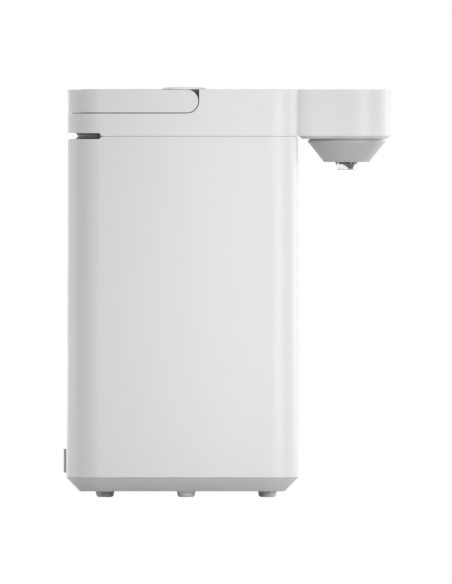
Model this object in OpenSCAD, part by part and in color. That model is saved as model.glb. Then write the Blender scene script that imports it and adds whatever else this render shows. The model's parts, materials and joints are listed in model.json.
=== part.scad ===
// Electric thermo pot with a folding carry handle and a pumped spout.
// +X points to the spout, +Z up. The floor is z = 0 and the model's box is centred on the Z axis.

/* [Body] */
// Depth of the body from rear to front
body_l = 197; // [190:1:205]
// Width of the body
body_w = 197; // [190:1:205]
// Plan radius of the body's upright corners
corner_r = 29; // [24:1:33]
// Height of the outer shell
shell_h = 289.4; // [270:1:310]
// Wall thickness of the moulded covers
wall = 2.4; // [2:0.1:2.8]
// Open joint between the outer shell and the top housing
seam = 0.8; // [0.5:0.1:1.1]
// Height of the top housing
housing_h = 39.5; // [38:0.5:44]
// Length of the locating lips inside the covers
lip_h = 6; // [4:0.5:8]
// Thickness of the locating lips
lip_t = 2; // [1.5:0.1:2.2]
// Gap between pieces that only locate each other
fit = 0.3; // [0.2:0.05:0.4]

/* [Base and feet] */
// Height of the base pan
base_h = 11.9; // [10:0.1:14]
// Depth of the chamfer round the base pan
base_chamfer = 11.5; // [9:0.1:13]
// Height of the feet
foot_h = 4.9; // [3.5:0.1:7]
// Radius of a foot where it meets the base
foot_top_r = 7.9; // [6.5:0.1:9]
// Radius of a foot above its rounded sole
foot_sole_r = 7.5; // [6:0.1:8]
// Radius of the round edge of a foot's sole
foot_round = 2.6; // [1:0.1:3]
// Distance of each foot's centre inside the body's nearest face
foot_margin = 29.5; // [26:0.5:36]
// How far forward of the body's centre the four feet stand
feet_x = 3.3; // [0:0.1:6]

/* [Vent slot] */
// Height of the slot round the rear
slot_h = 5.1; // [4.6:0.1:6]
// Depth of the slot
slot_depth = 9.4; // [7:0.1:10]
// How far the slot reaches below the bottom of the housing
slot_drop = 2.7; // [2:0.1:3]
// Corner radius at the slot's two ends
slot_end_r = 1.7; // [0.5:0.1:2.2]
// Thickness of the channel behind the slot
channel_t = 1.5; // [1:0.1:1.8]
// Width of one vent opening in the channel
vent_w = 6; // [4:0.5:7]
// Spacing of the vent openings
vent_pitch = 10; // [8:0.5:14]
// Number of vent openings
vent_count = 9; // [5:2:11]

/* [Handle] */
// Height of the handle's arms and of its grip
handle_h = 19.6; // [17:0.1:21]
// Thickness of the handle
handle_t = 11; // [9:0.5:11.5]
// Gap between the handle and its recess
handle_gap = 0.6; // [0.4:0.1:1]
// How far the handle lies inside the body's sides
handle_inset = 0.6; // [0.2:0.1:1]
// Handle pivot, forward of the body's centre
pivot_x = 3.9; // [0:0.1:8]
// Radius of the pivot pins
pivot_r = 4; // [3:0.5:5]
// Radial clearance of turning pins
pin_gap = 0.05; // [0.02:0.01:0.09]
// Width of the finger hollow under the grip
scoop_w = 64; // [50:1:80]
// Height of the finger hollow
scoop_h = 11; // [8:0.5:12]
// Depth of the finger hollow
scoop_depth = 9; // [6:0.5:9.5]

/* [Lid] */
// Distance of the lid's front edge behind the body's front
lid_margin = 19.5; // [16.5:0.5:21.5]
// Plan radius of the lid's two front corners
lid_corner_r = 10; // [6:1:14]
// Thickness of the lid's top
lid_t = 2.3; // [1.8:0.1:2.6]
// Gap round the lid
lid_gap = 0.4; // [0.3:0.05:0.6]
// Gap between the hinge and the housing's rear wall
hinge_gap = 1.3; // [0.9:0.1:2]
// Radius of the hinge barrels
hinge_r = 4; // [3.6:0.1:4.2]
// Radius of the hinge pin
hinge_pin_r = 2; // [1.6:0.1:2.2]
// Height of the seat under the lid, below the top
seat_drop = 7.3; // [7:0.1:8]
// Least width of the lid beside the well that takes its plug
well_margin = 1; // [0.8:0.1:2]
// Gap between the lid's plug and the well
plug_gap = 5.5; // [5.5:0.1:8]
// Radius of the release button
button_r = 19.35; // [16:0.05:20]
// How far the release button stands proud of the lid
button_proud = 2.1; // [1.6:0.1:3]
// How far the release button stands forward of the body's centre
button_x = 1.5; // [0:0.1:3]
// Travel of the release button
button_travel = 2; // [1.5:0.1:2]
// Latch travel for each unit of button travel
latch_ratio = 1.5; // [1.4:0.05:1.6]
// Thickness of the latch
latch_t = 4; // [3:0.5:4]
// Width of the latch
latch_w = 22; // [20:1:26]
// Number of steam slots over the valve
steam_slots = 7; // [5:1:9]
// Length of each steam slot
steam_slot_l = 16; // [12:0.5:18]
// Width of each steam slot
steam_slot_w = 1.9; // [1.5:0.1:2.2]
// Distance from one steam slot to the next
steam_slot_pitch = 4.6; // [4:0.1:5]

/* [Head] */
// How far the head stands out in front of the body
head_reach = 78.4; // [76:0.5:84]
// Width of the head
head_w = 74.6; // [72:0.5:78]
// Height of the chamfered band under the head
band_h = 2.6; // [2.4:0.1:3]
// Depth of the chamfer under the head
band_inset = 3.8; // [3:0.1:4.5]
// Margin round the control panel
panel_margin = 4; // [3:0.5:5]
// Thickness of the control panel
panel_t = 2; // [1.6:0.1:2.2]
// Radius of the pouring key
main_key_r = 11; // [9:0.5:12]
// Distance of the pouring key in front of the body
main_key_out = 49; // [47:0.5:51]
// Radius of the two side keys
side_key_r = 6.5; // [5:0.5:7]
// Distance of the side keys from the centre line
side_key_y = 17; // [15:0.5:19]
// Distance of the side keys in front of the body
side_key_out = 28.5; // [27.5:0.5:29]
// Travel of a key
key_travel = 0.8; // [0.5:0.1:0.9]
// Length of the display window across the head
window_w = 34; // [26:1:38]
// Width of the display window along the head
window_l = 10; // [7:0.5:11]
// Distance of the display window in front of the body
window_out = 14.5; // [14:0.5:15]

/* [Spout] */
// Radius of the cowl's rim
cowl_r = 32.7; // [31:0.1:33]
// Radius of the cowl's lower face
cowl_low_r = 19.8; // [17:0.1:24]
// Height of the cowl's upright rim
cowl_rim_h = 3.4; // [2.6:0.1:5]
// Height of the cowl
cowl_h = 19.6; // [17:0.1:23]
// Radius of the clear outlet at its top
outlet_r = 9.5; // [8.5:0.1:11]
// Radius of the clear outlet at its mouth
outlet_low_r = 7.8; // [7:0.1:8.2]
// How far the outlet hangs below the cowl
outlet_h = 6.4; // [5:0.1:8]
// Wall thickness of the outlet
outlet_t = 1.2; // [1:0.1:1.4]
// Radius of the hose spigots
spigot_r = 5; // [4.4:0.1:5.4]
// Radius of the water passage
water_r = 3.4; // [2.8:0.1:3.5]

/* [Power inlet] */
// Width of the inlet housing
inlet_w = 26; // [22:1:30]
// Height of the inlet housing
inlet_h = 20.2; // [18:0.1:24]
// Height of the inlet housing above the floor
inlet_z = 20.8; // [20:0.1:24]
// How far the inlet stands proud of the rear
inlet_proud = 2.3; // [1.5:0.1:4]
// Length of the inlet housing
inlet_l = 20; // [18:0.5:22]
// Wall of the inlet housing
inlet_wall = 2.5; // [2:0.1:3]
// Radius of a contact pin
contact_r = 1.6; // [1.2:0.1:2]
// Spacing of the contact pins
contact_pitch = 7; // [6:0.5:7.5]

/* [Tank] */
// Space between the inner tank and the body's outer faces
tank_room = 17; // [16.5:0.5:20]
// Sheet thickness of the inner tank
tank_t = 1; // [0.8:0.1:1.4]
// Height of the tank's bottom above the base pan's floor
tank_lift = 42.7; // [42:0.1:48]
// How far the tank's mouth lies inside the well
neck_in = 10; // [9.5:0.5:14]
// Width of the tank's flange beyond its wall
flange_w = 3.5; // [1.5:0.5:4.5]
// Thickness of the tank gasket
gasket_t = 1.4; // [1:0.1:2]
// Thickness of the insulation jacket
jacket_t = 9; // [6:0.5:10]
// Radius of the heater plate
heater_r = 42; // [36:1:44]
// Thickness of the heater plate
heater_t = 5.5; // [4:0.5:6]

/* [Pump] */
// Gap between the pump and the cradle's leg beside it
pump_gap = 3.75; // [2.5:0.25:4.5]
// Pump axis, to the side of the centre line
pump_y = -35; // [-36:0.5:-34]
// Radius of the pump body
pump_r = 19; // [18:0.5:20]
// Height of the pump body
pump_h = 12; // [11:0.5:13]
// Wall of the pump body
pump_wall = 2; // [1.6:0.1:2.4]
// Radius of the pump motor
motor_r = 13; // [11:0.5:14]
// Height of the pump motor
motor_h = 16; // [14:0.5:16]
// Radius of the motor shaft
shaft_r = 1.5; // [1.2:0.1:1.8]
// Distance of the upright water and wiring runs inside the body's faces
riser_inset = 24.5; // [22.5:0.5:25.5]
// Number of impeller vanes
vane_count = 6; // [5:1:8]

/* [Hidden] */
$fn = 64;

eps = 0.01;
big = 400;
// The model's box runs from the inlet to the head, so the body's centre stands behind its middle
body_x = (inlet_proud - head_reach) / 2;
base_z = foot_h;
base_floor = base_z + wall;
shell_z0 = base_z + base_h;
shell_z1 = shell_z0 + shell_h;
housing_z0 = shell_z1 + seam;
top_z = housing_z0 + housing_h;
slot_z0 = housing_z0 - slot_drop;
slot_x1 = -(body_l / 2 - corner_r);
body_half = min(body_l, body_w) / 2;
riser_xy = body_half - riser_inset;
// Lips inside the covers lie behind the wall and a fitting gap
lip_in = wall + fit;
lip_out = lip_in + lip_t;

// Handle
handle_drop = 0.2;
pivot_z = top_z - handle_drop - handle_h / 2;
handle_z0 = pivot_z - handle_h / 2;
handle_turn_r = handle_h / 2 + handle_gap;
recess_in = handle_inset + handle_t + handle_gap;
recess_z0 = handle_z0 - handle_gap;
pin_reach = 7;
pin_flange_t = 2;
pin_flange_r = pivot_r + 2;
// Ends of the handle pins, and the inner face of the wall that holds them
pin_end = body_w / 2 - recess_in + pin_reach;
pin_wall_y = body_w / 2 - recess_in - wall;

// Lid. Its square rear corners reach into the rounded corners of the recess wall
lid_front = body_l / 2 - lid_margin;
lid_rear = -(body_l / 2 - recess_in - wall - hinge_gap);
hinge_x = lid_rear + hinge_r;
hinge_z = top_z - hinge_r;
recess_corner_r = corner_r - recess_in - wall;
lid_w = body_w - 2 * corner_r - 2 * lid_gap + 2 * sqrt(pow(recess_corner_r, 2)
  - pow(body_l / 2 - corner_r + lid_rear, 2));
well_r = min(lid_w / 2 - well_margin, lid_front - 5 * well_margin,
  -hinge_x - hinge_r - well_margin / 2);
plug_r = well_r - plug_gap;
neck_r = well_r - neck_in;
tank_r = body_half - tank_room;
flange_r = tank_r + flange_w;
lid_under = top_z - lid_t;
seat_z = top_z - seat_drop;
rim_t = 0.8;
barrel_y0 = 22;
barrel_y1 = 36.5;
lug_w = 6;
tank_z0 = base_floor + tank_lift;
flange_below_seam = 2.2;
tank_z1 = shell_z1 - flange_below_seam;
well_z0 = tank_z1 + gasket_t;
seal_t = 4.2;
seal_lap = 2;
seal_r = plug_r - 0.5;
button_collar_h = 5;
valve_stem_r = 4;
valve_cap_r = 8;
valve_cap_t = 3;
valve_stem_h = 4;
plug_z0 = tank_z1 + fit + seal_t;
plug_floor = plug_z0 + wall;

// Latch
latch_top = top_z - 9.5;
latch_z0 = latch_top - latch_t;
latch_tip = well_r + 2.4;
ramp_x = -8;
latch_tail_l = 6;
latch_rear = ramp_x - latch_t * latch_ratio - latch_tail_l;
latch_nose_l = 3;
latch_nose_h = 1.5;
ramp_gap = 0.45;
wedge_t = 3;
spring_seat = latch_z0 - 3;
button_z0 = top_z - 4.5;
button_round = 4;
spring_r = 5;
spring_seat_rim = 1.5;
spring_post_h = 4;
spring_wire = 0.5;
latch_spring_l = 14;
latch_spring_r = 1.9;
latch_spring_wire = 0.35;
latch_window = 8;
latch_window_x = 14;

// Head
head_x1 = body_l / 2 + head_reach;
head_r = head_w / 2;
spout_x = head_x1 - head_r;
panel_sink = 0.2;
panel_z0 = top_z - panel_sink - panel_t;
ledge_w = 5;
board_z = top_z - 11.5;
board_t = 1.6;
switch_h = 3.7;
switch_w = 6;
switch_gap = 0.2;
key_proud = 0.2;
key_stem_r = 2.5;
key_flange_t = 1.4;
key_flange_w = 1.2;
key_flange_z0 = panel_z0 - fit - key_flange_t;
key_stem_z0 = board_z + board_t + switch_h + key_travel + switch_gap;
hose_window_half = 30;
main_key_x = body_l / 2 + main_key_out;
side_key_x = body_l / 2 + side_key_out;
window_x = body_l / 2 + window_out;
head_post_x = body_l / 2 + 10;
head_post_y = head_r - 9.5;
head_post_r = 4;
head_post_neck_r = head_post_r - 1.5;

// Spout
cowl_z1 = housing_z0 - band_h;
cowl_z0 = cowl_z1 - cowl_h;
outlet_z0 = cowl_z0 - outlet_h;
spigot_z1 = housing_z0 + 9;
cowl_t = 2;
cowl_step = 1.5;
cowl_shadow_h = 0.8;
insert_top_r = outlet_r - outlet_t - 1.6;
insert_low_r = 2.2;
insert_bore_r = 1.4;
insert_sink = 0.6;

// Under the tank
cradle_t = 4;
cradle_in = tank_r - 11.5;
leg_w = 10;
leg_turn = 30;
leg_angles = [leg_turn, 180 - leg_turn, 180 + leg_turn, 360 - leg_turn];
leg_r = tank_r + 2.5;
pump_x = leg_r * cos(leg_turn) - leg_w / 2 - pump_gap - pump_r;
screw_boss_h = 7;
screw_head_r = 3.2;
screw_head_h = 2;
screw_r = 1.5;
screw_grip = 10;
bracket_t = 2.7;
bracket_lip_h = 7;
motor_z0 = base_floor + bracket_t;
shaft_seat_t = 4;
shaft_reach = 4;
pump_z0 = motor_z0 + motor_h;
pump_z1 = pump_z0 + pump_h;
riser_r = spigot_r;
riser_z0 = base_floor + 45;
riser_z1 = housing_z0 + 11;
// The power board lies in front of the two rear legs
board_x0 = leg_w / 2 + 5.75 - leg_r * cos(leg_turn);
board_l = 52;
board_x1 = board_x0 + board_l;
board_w = 90;
board_post_h = 7;
board_post_r = 3;
board_post_inset = 5;
// Parts on the power board: distance from its rear edge, y, length, width and height
board_blocks = [[12, -30, 14, 20, 16], [34, -32, 10, 12, 12], [12, 4, 20, 26, 18],
  [36, 24, 9, 9, 9]];
// Round parts on the power board: distance from its rear edge, y, radius and height
board_cans = [[38, -4, 5, 20], [26, 36, 4, 14]];

// --- Shapes used by many pieces ---

// Places a piece in the model's frame and gives it its colour
module piece(tint) color(tint) translate([body_x, 0, 0]) children();

// Rectangle with true round corners
module rounded_rect(l, w, r) {
  square([l - 2 * r, w], center = true);
  square([l, w - 2 * r], center = true);
  for (sx = [-1, 1], sy = [-1, 1]) translate([sx * (l / 2 - r), sy * (w / 2 - r)]) circle(r);
}

// Upright layer of the body's plan, set in from its outer face by d
module body_layer(d, z0, z1) translate([0, 0, z0]) linear_extrude(z1 - z0)
  rounded_rect(body_l - 2 * d, body_w - 2 * d, corner_r - d);

// Ring of the body's plan between two insets
module body_ring(d0, d1, z0, z1) difference() {
  body_layer(d0, z0, z1);
  body_layer(d1, z0 - eps, z1 + eps);
}

// Section whose two sides stand half from the middle, less each point's inset
function mirrored(half, edge) = concat(
  [for (p = edge) [half - p[0], p[1]]],
  [for (i = [len(edge) - 1:-1:0]) [edge[i][0] - half, edge[i][1]]]);

// Solid on a rounded-rectangle plan. edge lists [inset, z] from the bottom up
module edged_solid(l, w, r, edge) {
  corner = concat([[0, edge[0][1]]], [for (p = edge) [r - p[0], p[1]]],
    [[0, edge[len(edge) - 1][1]]]);
  for (i = [0:3]) {
    sx = (i == 0 || i == 3) ? 1 : -1;
    sy = i < 2 ? 1 : -1;
    translate([sx * (l / 2 - r), sy * (w / 2 - r), 0]) rotate([0, 0, 90 * i])
      rotate_extrude(angle = 90) polygon(corner);
  }
  translate([r - l / 2, 0, 0]) rotate([90, 0, 90]) linear_extrude(l - 2 * r)
    polygon(mirrored(w / 2, edge));
  translate([0, w / 2 - r, 0]) rotate([90, 0, 0]) linear_extrude(w - 2 * r)
    polygon(mirrored(l / 2, edge));
}

// Box given by its low and high corners
module block(a, b) translate(a) cube(b - a);

// Box that is symmetric about the centre line
module centred_block(x0, x1, half_y, z0, z1) block([x0, -half_y, z0], [x1, half_y, z1]);

// Cylinder along Y between two places
module y_cylinder(r, x, z, y0, y1) translate([x, y0, z]) rotate([-90, 0, 0])
  cylinder(r = r, h = y1 - y0);

// Ring or tube about Z
module tube(r_out, r_in, z0, z1) translate([0, 0, z0]) difference() {
  cylinder(r = r_out, h = z1 - z0);
  translate([0, 0, -eps]) cylinder(r = r_in, h = z1 - z0 + 2 * eps);
}

// Plan of the head, set in by d, from the body's front to its round nose
module head_plan(d) {
  translate([spout_x, 0]) circle(head_r - d);
  translate([body_l / 2, d - head_r]) square([spout_x - body_l / 2, 2 * (head_r - d)]);
}
module head_layer(d, z0, z1) translate([0, 0, z0]) linear_extrude(z1 - z0) head_plan(d);

// Plan of the control panel, round at its nose and square at the body
module panel_plan(d) {
  x0 = body_l / 2 + panel_margin + d;
  r = head_r - panel_margin - d;
  translate([spout_x, 0]) circle(r);
  translate([x0, -r]) square([spout_x - x0, 2 * r]);
}
module panel_layer(d, z0, z1) translate([0, 0, z0]) linear_extrude(z1 - z0) panel_plan(d);

// Plan of the lid, grown by d. Its rear corners are square, where it turns on the hinge
module lid_plan(d) {
  y = lid_w / 2 - lid_corner_r;
  translate([lid_rear - d, -lid_w / 2 - d])
    square([lid_front - lid_corner_r - lid_rear + d, lid_w + 2 * d]);
  translate([lid_rear - d, -y]) square([lid_front - lid_rear + 2 * d, 2 * y]);
  for (s = [-1, 1]) translate([lid_front - lid_corner_r, s * y]) circle(lid_corner_r + d);
}
module lid_layer(d, z0, z1) translate([0, 0, z0]) linear_extrude(z1 - z0) lid_plan(d);

// --- Swept hoses, wires and springs ---

function unit(v) = v / norm(v);
function heading(p, i) = unit(p[min(i + 1, len(p) - 1)] - p[max(i - 1, 0)]);
// Side directions carried along the route without twist
function sides_of(p, side, i = 0) = i >= len(p) ? [] :
  let (t = heading(p, i), n = unit(side - (side * t) * t)) concat([n], sides_of(p, n, i + 1));
// Smooth route through a few points
function route_at(a, b, c, d, t) = 0.5 * ((2 * b) + (c - a) * t
  + (2 * a - 5 * b + 4 * c - d) * t * t + (3 * b - a - 3 * c + d) * t * t * t);
function route(p, steps) = [for (i = [0:len(p) - 2], s = [0:steps - 1])
  route_at(p[max(i - 1, 0)], p[i], p[i + 1], p[min(i + 2, len(p) - 1)], s / steps),
  p[len(p) - 1]];
function helix(r, h, turns, steps) = [for (i = [0:turns * steps])
  [r * cos(360 * i / steps), r * sin(360 * i / steps), h * i / (turns * steps)]];

module swept(p, r, n, side = [0, 1, 0]) {
  normals = sides_of(p, side);
  points = [for (i = [0:len(p) - 1], k = [0:n - 1])
    let (t = heading(p, i), u = normals[i], v = cross(t, u), a = 360 * k / n)
    p[i] + r * (cos(a) * u + sin(a) * v)];
  last = (len(p) - 1) * n;
  walls = [for (i = [0:len(p) - 2], k = [0:n - 1], h = [0:1])
    let (a = i * n + k, b = i * n + (k + 1) % n)
    h == 0 ? [a, a + n, b] : [b, a + n, b + n]];
  polyhedron(points, concat(walls, [[for (k = [0:n - 1]) k]],
    [[for (k = [n - 1:-1:0]) last + k]]));
}

// --- Outer covers ---

// Void of the slot that wraps the rear, with rounded ends
module slot_void() difference() {
  union() {
    centred_block(-big, slot_x1 - slot_end_r, big, slot_z0, slot_z0 + slot_h);
    centred_block(-big, slot_x1, big, slot_z0 + slot_end_r, slot_z0 + slot_h - slot_end_r);
    for (z = [slot_z0 + slot_end_r, slot_z0 + slot_h - slot_end_r])
      y_cylinder(slot_end_r, slot_x1 - slot_end_r, z, -big, big);
  }
  // The bottom of the slot is a half-round groove
  groove_r = slot_h / 2;
  edged_solid(body_l, body_w, corner_r, concat([[slot_depth - groove_r, slot_z0 - 1]],
    [for (a = [0:22.5:180]) [slot_depth - groove_r * (1 - sin(a)),
      slot_z0 + groove_r * (1 - cos(a))]],
    [[slot_depth - groove_r, slot_z0 + slot_h + 1]]));
}

// Space that the vent channel takes inside the covers, grown by g
module channel_space(g) intersection() {
  body_ring(wall, slot_depth + channel_t + g, slot_z0 - channel_t - g,
    slot_z0 + slot_h + channel_t + g);
  centred_block(-big, slot_x1 + channel_t + g, big, 0, big);
}

module inlet_hole(g) centred_block(-big, 0, inlet_w / 2 + g, inlet_z - g, inlet_z + inlet_h + g);

module outer_shell() piece("gainsboro") difference() {
  body_ring(0, wall, shell_z0, shell_z1);
  slot_void();
  inlet_hole(fit);
}

module base_boss_places() for (a = leg_angles)
  translate([leg_r * cos(a), leg_r * sin(a), 0]) children();

module board_post_places() for (x = [board_x0 + board_post_inset, board_x1 - board_post_inset],
  y = [-1, 1]) translate([x, y * (board_w / 2 - board_post_inset), 0]) children();

module base_pan() piece("lightgray") {
  outside = [[base_chamfer, base_z], [0, shell_z0]];
  hollow = [[base_chamfer + wall / 2, base_floor], [wall, shell_z0 + eps]];
  difference() {
    union() {
      edged_solid(body_l, body_w, corner_r, outside);
      body_ring(lip_in, lip_out, shell_z0 - eps, shell_z0 + lip_h);
    }
    difference() {
      edged_solid(body_l, body_w, corner_r, hollow);
      base_boss_places() cylinder(r = leg_w / 2, h = base_z + screw_boss_h);
      body_ring(lip_in, lip_out, base_floor, shell_z0 + 1);
    }
    base_boss_places() {
      translate([0, 0, base_z - 1]) cylinder(r = screw_head_r + fit, h = screw_boss_h - wall + 1);
      cylinder(r = screw_r + pin_gap, h = big);
    }
    inlet_hole(fit);
    foot_places() translate([0, 0, base_z - eps]) cylinder(r = foot_peg_r + pin_gap, h = wall + 1);
  }
  board_post_places() translate([0, 0, base_floor - eps])
    cylinder(r = board_post_r, h = board_post_h + eps);
}

// Feet, each with a peg that goes up through the base pan
foot_peg_r = 2.5;
foot_catch_h = 2.5;
function foot_place(a) = [feet_x + (body_l / 2 - foot_margin) * cos(a),
  (body_w / 2 - foot_margin) * sin(a), 0];
module foot_places() for (a = [0:90:270]) translate(foot_place(a)) children();

module foot(angle) piece("silver") translate(foot_place(angle)) {
  rotate_extrude() polygon(concat([[0, 0]],
    [for (a = [-90:15:0]) [foot_sole_r - foot_round + foot_round * cos(a),
      foot_round + foot_round * sin(a)]],
    [[foot_top_r, foot_h], [0, foot_h]]));
  translate([0, 0, foot_h - eps]) cylinder(r = foot_peg_r, h = wall + eps);
  translate([0, 0, base_floor]) cylinder(r1 = foot_peg_r + 0.8, r2 = foot_peg_r - 0.5,
    h = foot_catch_h);
}
module foot_front() foot(0);
module foot_rear() foot(180);
module foot_left() foot(90);
module foot_right() foot(270);

inlet_x0 = -body_l / 2 - inlet_proud;
contact_sink = 7;
module contact_line(y) translate([inlet_x0 + contact_sink, y * contact_pitch,
  inlet_z + inlet_h / 2]) rotate([0, 90, 0]) children();

module power_inlet() piece("darkgray") difference() {
  centred_block(inlet_x0, inlet_x0 + inlet_l, inlet_w / 2, inlet_z, inlet_z + inlet_h);
  centred_block(inlet_x0 - 1, inlet_x0 + inlet_l - inlet_wall, inlet_w / 2 - inlet_wall,
    inlet_z + inlet_wall, inlet_z + inlet_h - inlet_wall);
  for (y = [-1:1]) contact_line(y) cylinder(r = contact_r, h = big);
}

module inlet_contacts() piece("goldenrod") for (y = [-1:1])
  contact_line(y) cylinder(r = contact_r, h = inlet_l - 2);

// Recess for the handle, grown by g into the housing
module recess_void(g) difference() {
  union() {
    centred_block(-big, pivot_x, big, recess_z0 - g, top_z + 1);
    centred_block(-big, pivot_x + handle_turn_r + g, big, pivot_z, top_z + 1);
    y_cylinder(handle_turn_r + g, pivot_x, pivot_z, -big, big);
  }
  body_layer(recess_in + g, recess_z0 - g - 1, top_z + 2);
}

module pin_bores(r) y_cylinder(r, pivot_x, pivot_z, -pin_end, pin_end);

edge_soft = 0.8;
module scoop_void(g) centred_block(-big, -body_l / 2 + scoop_depth + g, scoop_w / 2 + g,
  recess_z0 - scoop_h - g, recess_z0 + 1);

module top_housing() piece("whitesmoke") difference() {
  union() {
    edged_solid(body_l, body_w, corner_r,
      [[0, housing_z0], [0, top_z - edge_soft], [edge_soft * 0.3, top_z - edge_soft * 0.3],
       [edge_soft, top_z]]);
    body_ring(lip_in, lip_out, shell_z1 - lip_h, housing_z0 + eps);
  }
  difference() {
    body_layer(wall, housing_z0 - eps, top_z - wall);
    recess_void(wall);
    scoop_void(wall);
    body_ring(wall - 1, lip_out, housing_z0 - 1, housing_z0 + lip_h);
  }
  recess_void(0);
  scoop_void(0);
  slot_void();
  channel_space(0);
  lid_layer(lid_gap, seat_z, top_z + 1);
  pin_bores(pivot_r);
  centred_block(body_l / 2 - wall - 1, body_l / 2 + 1, hose_window_half, housing_z0 + lip_h,
    top_z - wall);
}

vent_edge = 1;
module vent_channel() piece("dimgray") difference() {
  channel_space(0);
  slot_void();
  for (i = [0:vent_count - 1]) translate([0, (i - (vent_count - 1) / 2) * vent_pitch, 0])
    centred_block(-body_l / 2 + slot_depth - slot_h / 2, -body_l / 2 + slot_depth + channel_t + 1,
      vent_w / 2, slot_z0 + vent_edge, slot_z0 + slot_h - vent_edge);
}

module handle() piece("gainsboro") difference() {
  union() {
    intersection() {
      body_ring(handle_inset, handle_inset + handle_t, handle_z0, handle_z0 + handle_h);
      centred_block(-big, pivot_x, big, 0, big);
    }
    for (s = [-1, 1]) y_cylinder(handle_h / 2, pivot_x, pivot_z,
      s * (body_w / 2 - handle_inset - handle_t / 2) - handle_t / 2,
      s * (body_w / 2 - handle_inset - handle_t / 2) + handle_t / 2);
  }
  pin_bores(pivot_r + pin_gap);
}

// Handle pin with a flange inside the recess wall
module handle_pin() {
  y_cylinder(pivot_r, pivot_x, pivot_z, pin_wall_y - eps, pin_end);
  y_cylinder(pin_flange_r, pivot_x, pivot_z, pin_wall_y - pin_flange_t, pin_wall_y);
}
module handle_pin_left() piece("slategray") handle_pin();
module handle_pin_right() piece("slategray") mirror([0, 1, 0]) handle_pin();

// --- Lid and the well under it ---

module hinge_cylinder(r, y0, y1) for (s = [-1, 1])
  y_cylinder(r, hinge_x, hinge_z, s > 0 ? y0 : -y1, s > 0 ? y1 : -y0);

module latch_slot(g) centred_block(0, well_r + wall + 1, latch_w / 2 + g, latch_z0 - g, latch_top + g);

module lid_well() piece("white") difference() {
  union() {
    // Plate under the lid, shut against the housing's inside
    intersection() {
      body_layer(recess_in + wall, seat_z - wall, seat_z);
      centred_block(-big, body_l / 2 - recess_in - wall, big, 0, big);
    }
    // Rim that closes the gap round the lid, trimmed to the housing's rounded inside
    intersection() {
      difference() {
        lid_layer(lid_gap + rim_t, seat_z - eps, top_z - wall);
        lid_layer(lid_gap, seat_z - 1, top_z);
      }
      body_layer(recess_in + wall, seat_z - 1, top_z);
    }
    translate([0, 0, well_z0]) cylinder(r = well_r + wall, h = seat_z - well_z0);
    hinge_cylinder(hinge_r, barrel_y1 + fit, barrel_y1 + fit + lug_w);
    for (s = [-1, 1]) translate([0, s * (barrel_y1 + fit + lug_w / 2), 0])
      centred_block(hinge_x - hinge_r, hinge_x + hinge_r, lug_w / 2, seat_z - wall, hinge_z);
  }
  translate([0, 0, well_z0 - 1]) cylinder(r = well_r, h = big);
  hinge_cylinder(hinge_pin_r, 0, barrel_y1 + fit + lug_w + 1);
  // Trough in which the lid's rear edge turns
  difference() {
    y_cylinder(hinge_r + lid_gap, hinge_x, hinge_z, -lid_w / 2 - lid_gap, lid_w / 2 + lid_gap);
    for (s = [-1, 1]) translate([0, s * (barrel_y1 + fit + lug_w / 2), 0])
      centred_block(hinge_x - hinge_r, hinge_x + hinge_r, lug_w / 2, 0, big);
  }
  latch_slot(fit);
  // Room for the flanges of the handle pins
  for (s = [-1, 1]) translate([0, s * pin_wall_y, 0]) y_cylinder(pin_flange_r + fit, pivot_x,
    pivot_z, -pin_flange_t - fit, pin_flange_t + fit);
}

module hinge_pin() piece("silver") y_cylinder(hinge_pin_r, hinge_x, hinge_z,
  -(barrel_y1 + fit + lug_w), barrel_y1 + fit + lug_w);

// Everything behind the hinge axis is rounded about it, so the rear edge can turn
module behind_hinge_rounded() intersection() {
  children();
  union() {
    centred_block(hinge_x, big, big, 0, big);
    y_cylinder(hinge_r, hinge_x, hinge_z, -big, big);
  }
}

// Row of round-ended slots over the steam valve
module steam_slot_voids() for (i = [0:steam_slots - 1])
  translate([valve_x, (i - (steam_slots - 1) / 2) * steam_slot_pitch, 0]) {
    half_run = (steam_slot_l - steam_slot_w) / 2;
    centred_block(-half_run, half_run, steam_slot_w / 2, lid_under - 1, top_z + 1);
    for (s = [-1, 1]) translate([s * half_run, 0, lid_under - 1])
      cylinder(r = steam_slot_w / 2, h = lid_t + 2);
  }

module lid_outer() piece("whitesmoke") difference() {
  union() {
    behind_hinge_rounded() difference() {
      lid_layer(0, seat_z + fit, top_z);
      lid_layer(-lip_t, 0, lid_under);
    }
    hinge_cylinder(hinge_r, barrel_y0, barrel_y1);
    translate([button_x, 0, 0]) tube(button_r + fit + wall / 2, button_r + fit,
      lid_under - button_collar_h, lid_under + 1);
  }
  translate([button_x, 0, 0]) cylinder(r = button_r + fit, h = big);
  hinge_cylinder(hinge_pin_r + pin_gap, 0, barrel_y1 + 1);
  for (s = [-1, 1]) translate([0, s * (barrel_y1 + fit + lug_w / 2), 0])
    centred_block(-big, hinge_x + hinge_r + lid_gap, lug_w / 2 + fit, 0, big);
  steam_slot_voids();
}

guide_t = 2;
stop_x = latch_rear - latch_spring_l;
rail_end = plug_r - 18.5;
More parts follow.
